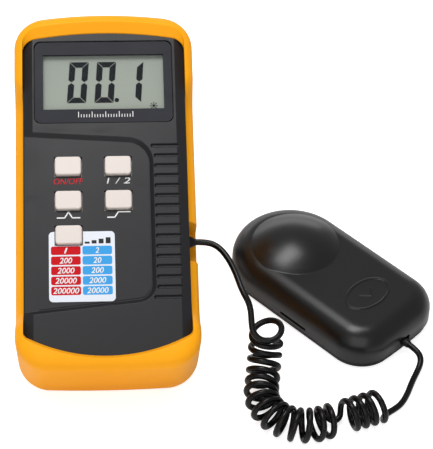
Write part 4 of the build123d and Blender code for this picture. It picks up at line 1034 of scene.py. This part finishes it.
@dataclass
class CurlyCord:
    """The whole cord from the meter to the head: one line through two leads and a coil."""

    jacket: Finish = MouldedFinish(
        "cord_jacket", (0.002, 0.002, 0.0022), (0.0015, 0.0015, 0.0017), roughness=0.26,
        grain_strength=0.08, scuffs=0.2, specular=0.22,
    )
    length: float = 0.768
    diameter: float = 0.0025
    foot: Point = (-0.0481, -0.05493, 0.0)
    start: Point = (0.03505, 0.03999, 0.04169)
    lead_out: tuple[Point, ...] = (
        (0.04025, 0.0400, 0.0417),
        (0.0446, 0.0374, 0.0410),
        (0.0479, 0.0320, 0.0399),
        (0.0505, 0.0250, 0.0386),
        (0.0523, 0.0175, 0.0369),
    )
    lead_in: tuple[Point, ...] = (
        (0.1173, -0.0075, 0.0013),
        (0.1206, 0.0004, 0.0013),
        (0.1240, 0.0066, 0.0019),
        (0.1253, 0.0102, 0.0034),
    )
    head_place: Point = (0.0420, -0.0038, 0.0)
    head_turn: float = -48.2
    head_exit: float = 0.0463
    head_level: float = 0.0048
    head_run: float = 0.0042
    curl_radius: float = 0.00575
    coil_x: float = 0.0594
    coil_y: float = -0.0076
    coil_turn: float = -9.0
    floor_gap: float = 0.00005
    crown_radius: float = 0.0098
    crown_sweep: float = 60.0
    crown_turns: float = 1.13
    rise_radius: float = 0.017
    rise_sweep: float = 72.0
    rise_turns: float = 4.62
    bend_radius: float = 0.0165
    bend_sweep: float = 118.0
    bend_turns: float = 7.5
    row_pitch: float = 0.0039
    first_turns: float = 1.32
    last_turns: float = 3.72
    reversal_radius: float = 0.0029
    unwind_radius: float = 0.005
    leave_angle: float = 15.0
    points_a_turn: int = 14
    points_a_swing: int = 6
    entry_run: float = 0.0081
    exit_run: float = 0.0067

    def station(self, distance: float, phase: float) -> Vector:
        """Place on the coil.

        Args:
            distance: How far along the coil's middle line, in metres.
            phase: Angle round that line, in radians.

        Returns:
            The point in the frame.
        """
        crown = self.crown_radius * math.radians(self.crown_sweep)
        rise = self.rise_radius * math.radians(self.rise_sweep)
        bend = self.bend_radius * math.radians(self.bend_sweep)
        level = self.curl_radius + self.diameter / 2 + self.floor_gap
        row = distance - crown - rise
        if row < 0:
            low = min(-row, rise) / self.rise_radius
            angle = low + max(crown - distance, 0.0) / self.crown_radius
            along = self.rise_radius * math.sin(low)
            along += self.crown_radius * (math.sin(angle) - math.sin(low))
            height = self.rise_radius * (1 - math.cos(low))
            height += self.crown_radius * (math.cos(low) - math.cos(angle))
            centre = Vector((0.0, along, height))
            across = Vector((1.0, 0.0, 0.0))
            upward = Vector((0.0, -math.sin(angle), math.cos(angle)))
        else:
            angle = min(row / self.bend_radius, math.radians(self.bend_sweep))
            centre = Vector((1 - math.cos(angle), -math.sin(angle), 0.0)) * self.bend_radius
            heading = Vector((math.sin(angle), -math.cos(angle), 0.0))
            centre += heading * max(row - bend, 0.0)
            across = Vector((math.cos(angle), math.sin(angle), 0.0))
            upward = Vector((0.0, 0.0, 1.0))
        # A quadratic spline runs inside its points, so they stand this much further out.
        reach = self.curl_radius * 4 / (3 + math.cos(2 * math.pi / self.points_a_turn))
        offset = across * math.cos(phase) + upward * math.sin(phase)
        turned = Matrix.Rotation(math.radians(self.coil_turn), 3, "Z") @ (centre + offset * reach)
        return Vector(self.foot) + Vector((self.coil_x, self.coil_y, level)) + turned

    def wound(self, length: float, turns: float) -> list[Place]:
        """Even steps along and round the coil.

        Args:
            length: Distance covered along the middle line.
            turns: Curls made, negative the other way round.

        Returns:
            Steps as pairs of distance and angle.
        """
        parts = math.ceil(self.points_a_turn * abs(turns))
        return [(length / parts, 2 * math.pi * turns / parts)] * parts

    def swung(self, radius: float, start: float, end: float) -> list[Place]:
        """Steps for an arc on the unrolled coil.

        Args:
            radius: The arc's radius.
            start: Heading at its start, measured from the coil's middle line.
            end: Heading at its end.

        Returns:
            Steps as pairs of distance and angle.
        """
        parts = self.points_a_swing
        side = 1 if end > start else -1
        headings = [start + (end - start) * index / parts for index in range(parts + 1)]
        return [
            (
                side * radius * (math.sin(after) - math.sin(before)),
                side * radius * (math.cos(before) - math.cos(after)) / self.curl_radius,
            )
            for before, after in zip(headings, headings[1:])
        ]

    def curls(self) -> list[Vector]:
        """Every point of the coil, from the meter's side to the head's.

        Returns:
            The points in the frame.
        """
        steep = math.pi / 2 - math.atan2(self.row_pitch, 2 * math.pi * self.curl_radius)
        arcs = (
            (self.crown_radius, self.crown_sweep, self.crown_turns),
            (self.rise_radius, self.rise_sweep, self.rise_turns),
            (self.bend_radius, self.bend_sweep, self.bend_turns),
        )
        steps = []
        for radius, sweep, turns in arcs:
            steps += self.wound(radius * math.radians(sweep), -turns)
        steps += self.wound(self.row_pitch * self.first_turns, -self.first_turns)
        steps += self.swung(self.reversal_radius, -steep, steep)
        steps += self.wound(self.row_pitch * self.last_turns, self.last_turns)
        steps += self.swung(self.unwind_radius, steep, math.radians(self.leave_angle))
        distance = 0.0
        phase = -math.pi / 2 - sum(turn for advance, turn in steps)
        points = [self.station(distance, phase)]
        for advance, turn in steps:
            distance += advance
            phase += turn
            points.append(self.station(distance, phase))
        return points

    @staticmethod
    def straight_on(tip: Vector, before: Vector, earlier: Vector, run: float) -> Vector:
        """Point that carries a curve on past its tip.

        Args:
            tip: The curve's last point.
            before: The point before it.
            earlier: The point before that.
            run: How far past the tip.

        Returns:
            The point.
        """
        # The slope at the end of the parabola through the three points.
        heading = (tip - before) * 1.5 - (before - earlier) * 0.5
        return tip + heading.normalized() * run

    def route(self) -> list[Vector]:
        """Every point of the cord.

        Returns:
            The points in the frame.
        """
        foot = Vector(self.foot)
        turn = math.radians(self.head_turn)
        outward = Vector((math.cos(turn), math.sin(turn), 0.0))
        base = Vector(self.head_place) + outward * self.head_exit
        end = base + Vector((0.0, 0.0, self.head_level))
        points = [foot + Vector(self.start)] + [foot + Vector(place) for place in self.lead_out]
        curls = self.curls()
        points.append(self.straight_on(*curls[:3], self.entry_run))
        points += curls
        points.append(self.straight_on(*curls[:-4:-1], self.exit_run))
        points += [foot + Vector(place) for place in self.lead_in]
        points += [end + outward * self.head_run, end]
        return points

    def build(self) -> None:
        curve = bpy.data.curves.new("curly_cord", "CURVE")
        curve.dimensions = "3D"
        spline = curve.splines.new("NURBS")
        points = self.route()
        spline.points.add(len(points) - 1)
        for point, place in zip(spline.points, points):
            point.co = (*place, 1.0)
        spline.order_u = 3
        spline.use_endpoint_u = True
        spline.resolution_u = 4
        curve.bevel_depth = self.diameter / 2
        curve.bevel_resolution = 5
        curve.use_fill_caps = True
        curve.materials.append(self.jacket.build())
        piece = add_object("curly_cord", curve)
        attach(piece, "meter")
        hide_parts("cord_meter_lead", "cord_coil", "cord_sensor_lead")
        log.info("made curly_cord with %d points", len(points))


@dataclass(frozen=True)
class Lamp:
    """Soft rectangular lamp that points at the object."""

    name: str
    place: Point
    power: float
    size: Place

    def hang(self) -> None:
        """Puts the lamp in the scene."""
        light = bpy.data.lights.new(self.name, "AREA")
        light.shape = "RECTANGLE"
        light.energy = self.power
        light.size, light.size_y = self.size
        lamp = add_object(self.name, light)
        lamp.location = self.place
        lamp.rotation_mode = "QUATERNION"
        lamp.rotation_quaternion = (-Vector(self.place)).to_track_quat("-Z", "Y")


@dataclass
class Studio:
    """White floor, plain white surroundings, lamps above, in front and behind, and the camera."""

    eye: Point = (-0.0504, -0.56723, 0.574)
    look: Point = (0.0597, 0.7249, -0.6863)
    up: Point = (0.0167, 0.6867, 0.7268)
    lens: float = 155.53
    sensor: float = 36.0
    world_strength: float = 0.46
    floor_reach: float = 3.0
    floor_glow: float = 0.65
    lamps: tuple[Lamp, ...] = (
        Lamp("top_lamp", (-0.1, 0.12, 0.86), power=4.2, size=(0.5, 0.3)),
        Lamp("front_lamp", (-0.15, -0.75, 0.5), power=2.5, size=(0.8, 0.8)),
        Lamp("rear_lamp", (0.0, 1.2, 0.25), power=2.0, size=(1.2, 0.3)),
    )

    def floor(self) -> None:
        """Makes the white floor, which shows nearly white and keeps the object's shadow."""
        sheet = bmesh.new()
        bmesh.ops.create_grid(sheet, x_segments=1, y_segments=1, size=self.floor_reach)
        mesh = bpy.data.meshes.new("floor")
        sheet.to_mesh(mesh)
        sheet.free()
        material, tree, shader = start_material("floor_white")
        path = tree.nodes.new("ShaderNodeLightPath")
        glow = add_math(tree, "MULTIPLY", path.outputs["Is Camera Ray"], self.floor_glow)
        set_inputs(tree, shader, {
            "Base Color": (0.93, 0.93, 0.93, 1.0),
            "Roughness": 0.9,
            "Specular IOR Level": 0.1,
            "Emission Color": WHITE,
            "Emission Strength": glow.outputs[0],
        })
        mesh.materials.append(material)
        add_object("floor", mesh)

    def surroundings(self) -> None:
        """Makes the world: plain pale light, seen as white."""
        world = bpy.data.worlds.new("studio")
        bpy.context.scene.world = world
        world.use_nodes = True
        tree = world.node_tree
        path = tree.nodes.new("ShaderNodeLightPath")
        rays = (path.outputs["Is Camera Ray"], path.outputs["Is Transmission Ray"])
        seen = add_math(tree, "MAXIMUM", *rays)
        strength = range_value(tree, seen.outputs[0], self.world_strength, 1.0)
        set_inputs(tree, tree.nodes["Background"], {"Color": WHITE, "Strength": strength})

    def camera(self) -> None:
        """Sets the camera where the photograph was taken."""
        data = bpy.data.cameras.new("camera")
        data.lens = self.lens
        data.sensor_width = self.sensor
        camera = add_object("camera", data)
        forward, up = Vector(self.look).normalized(), Vector(self.up)
        right = forward.cross(up).normalized()
        upright = right.cross(forward)
        turn = Matrix((right, upright, -forward)).transposed().to_4x4()
        camera.matrix_world = Matrix.Translation(self.eye) @ turn
        bpy.context.scene.camera = camera

    def build(self) -> None:
        """Sets up the whole studio."""
        bpy.context.scene.view_settings.view_transform = "Standard"
        self.camera()
        self.floor()
        self.surroundings()
        for lamp in self.lamps:
            lamp.hang()


def main() -> None:
    """Builds and dresses the whole object."""
    Studio().build()
    CurlyCord().build()
    Holster().dress()
    Case().dress()
    Display().build()
    Keypad().build()
    Works().dress()
    SensorHead().dress()


if __name__ == "__main__":
    main()
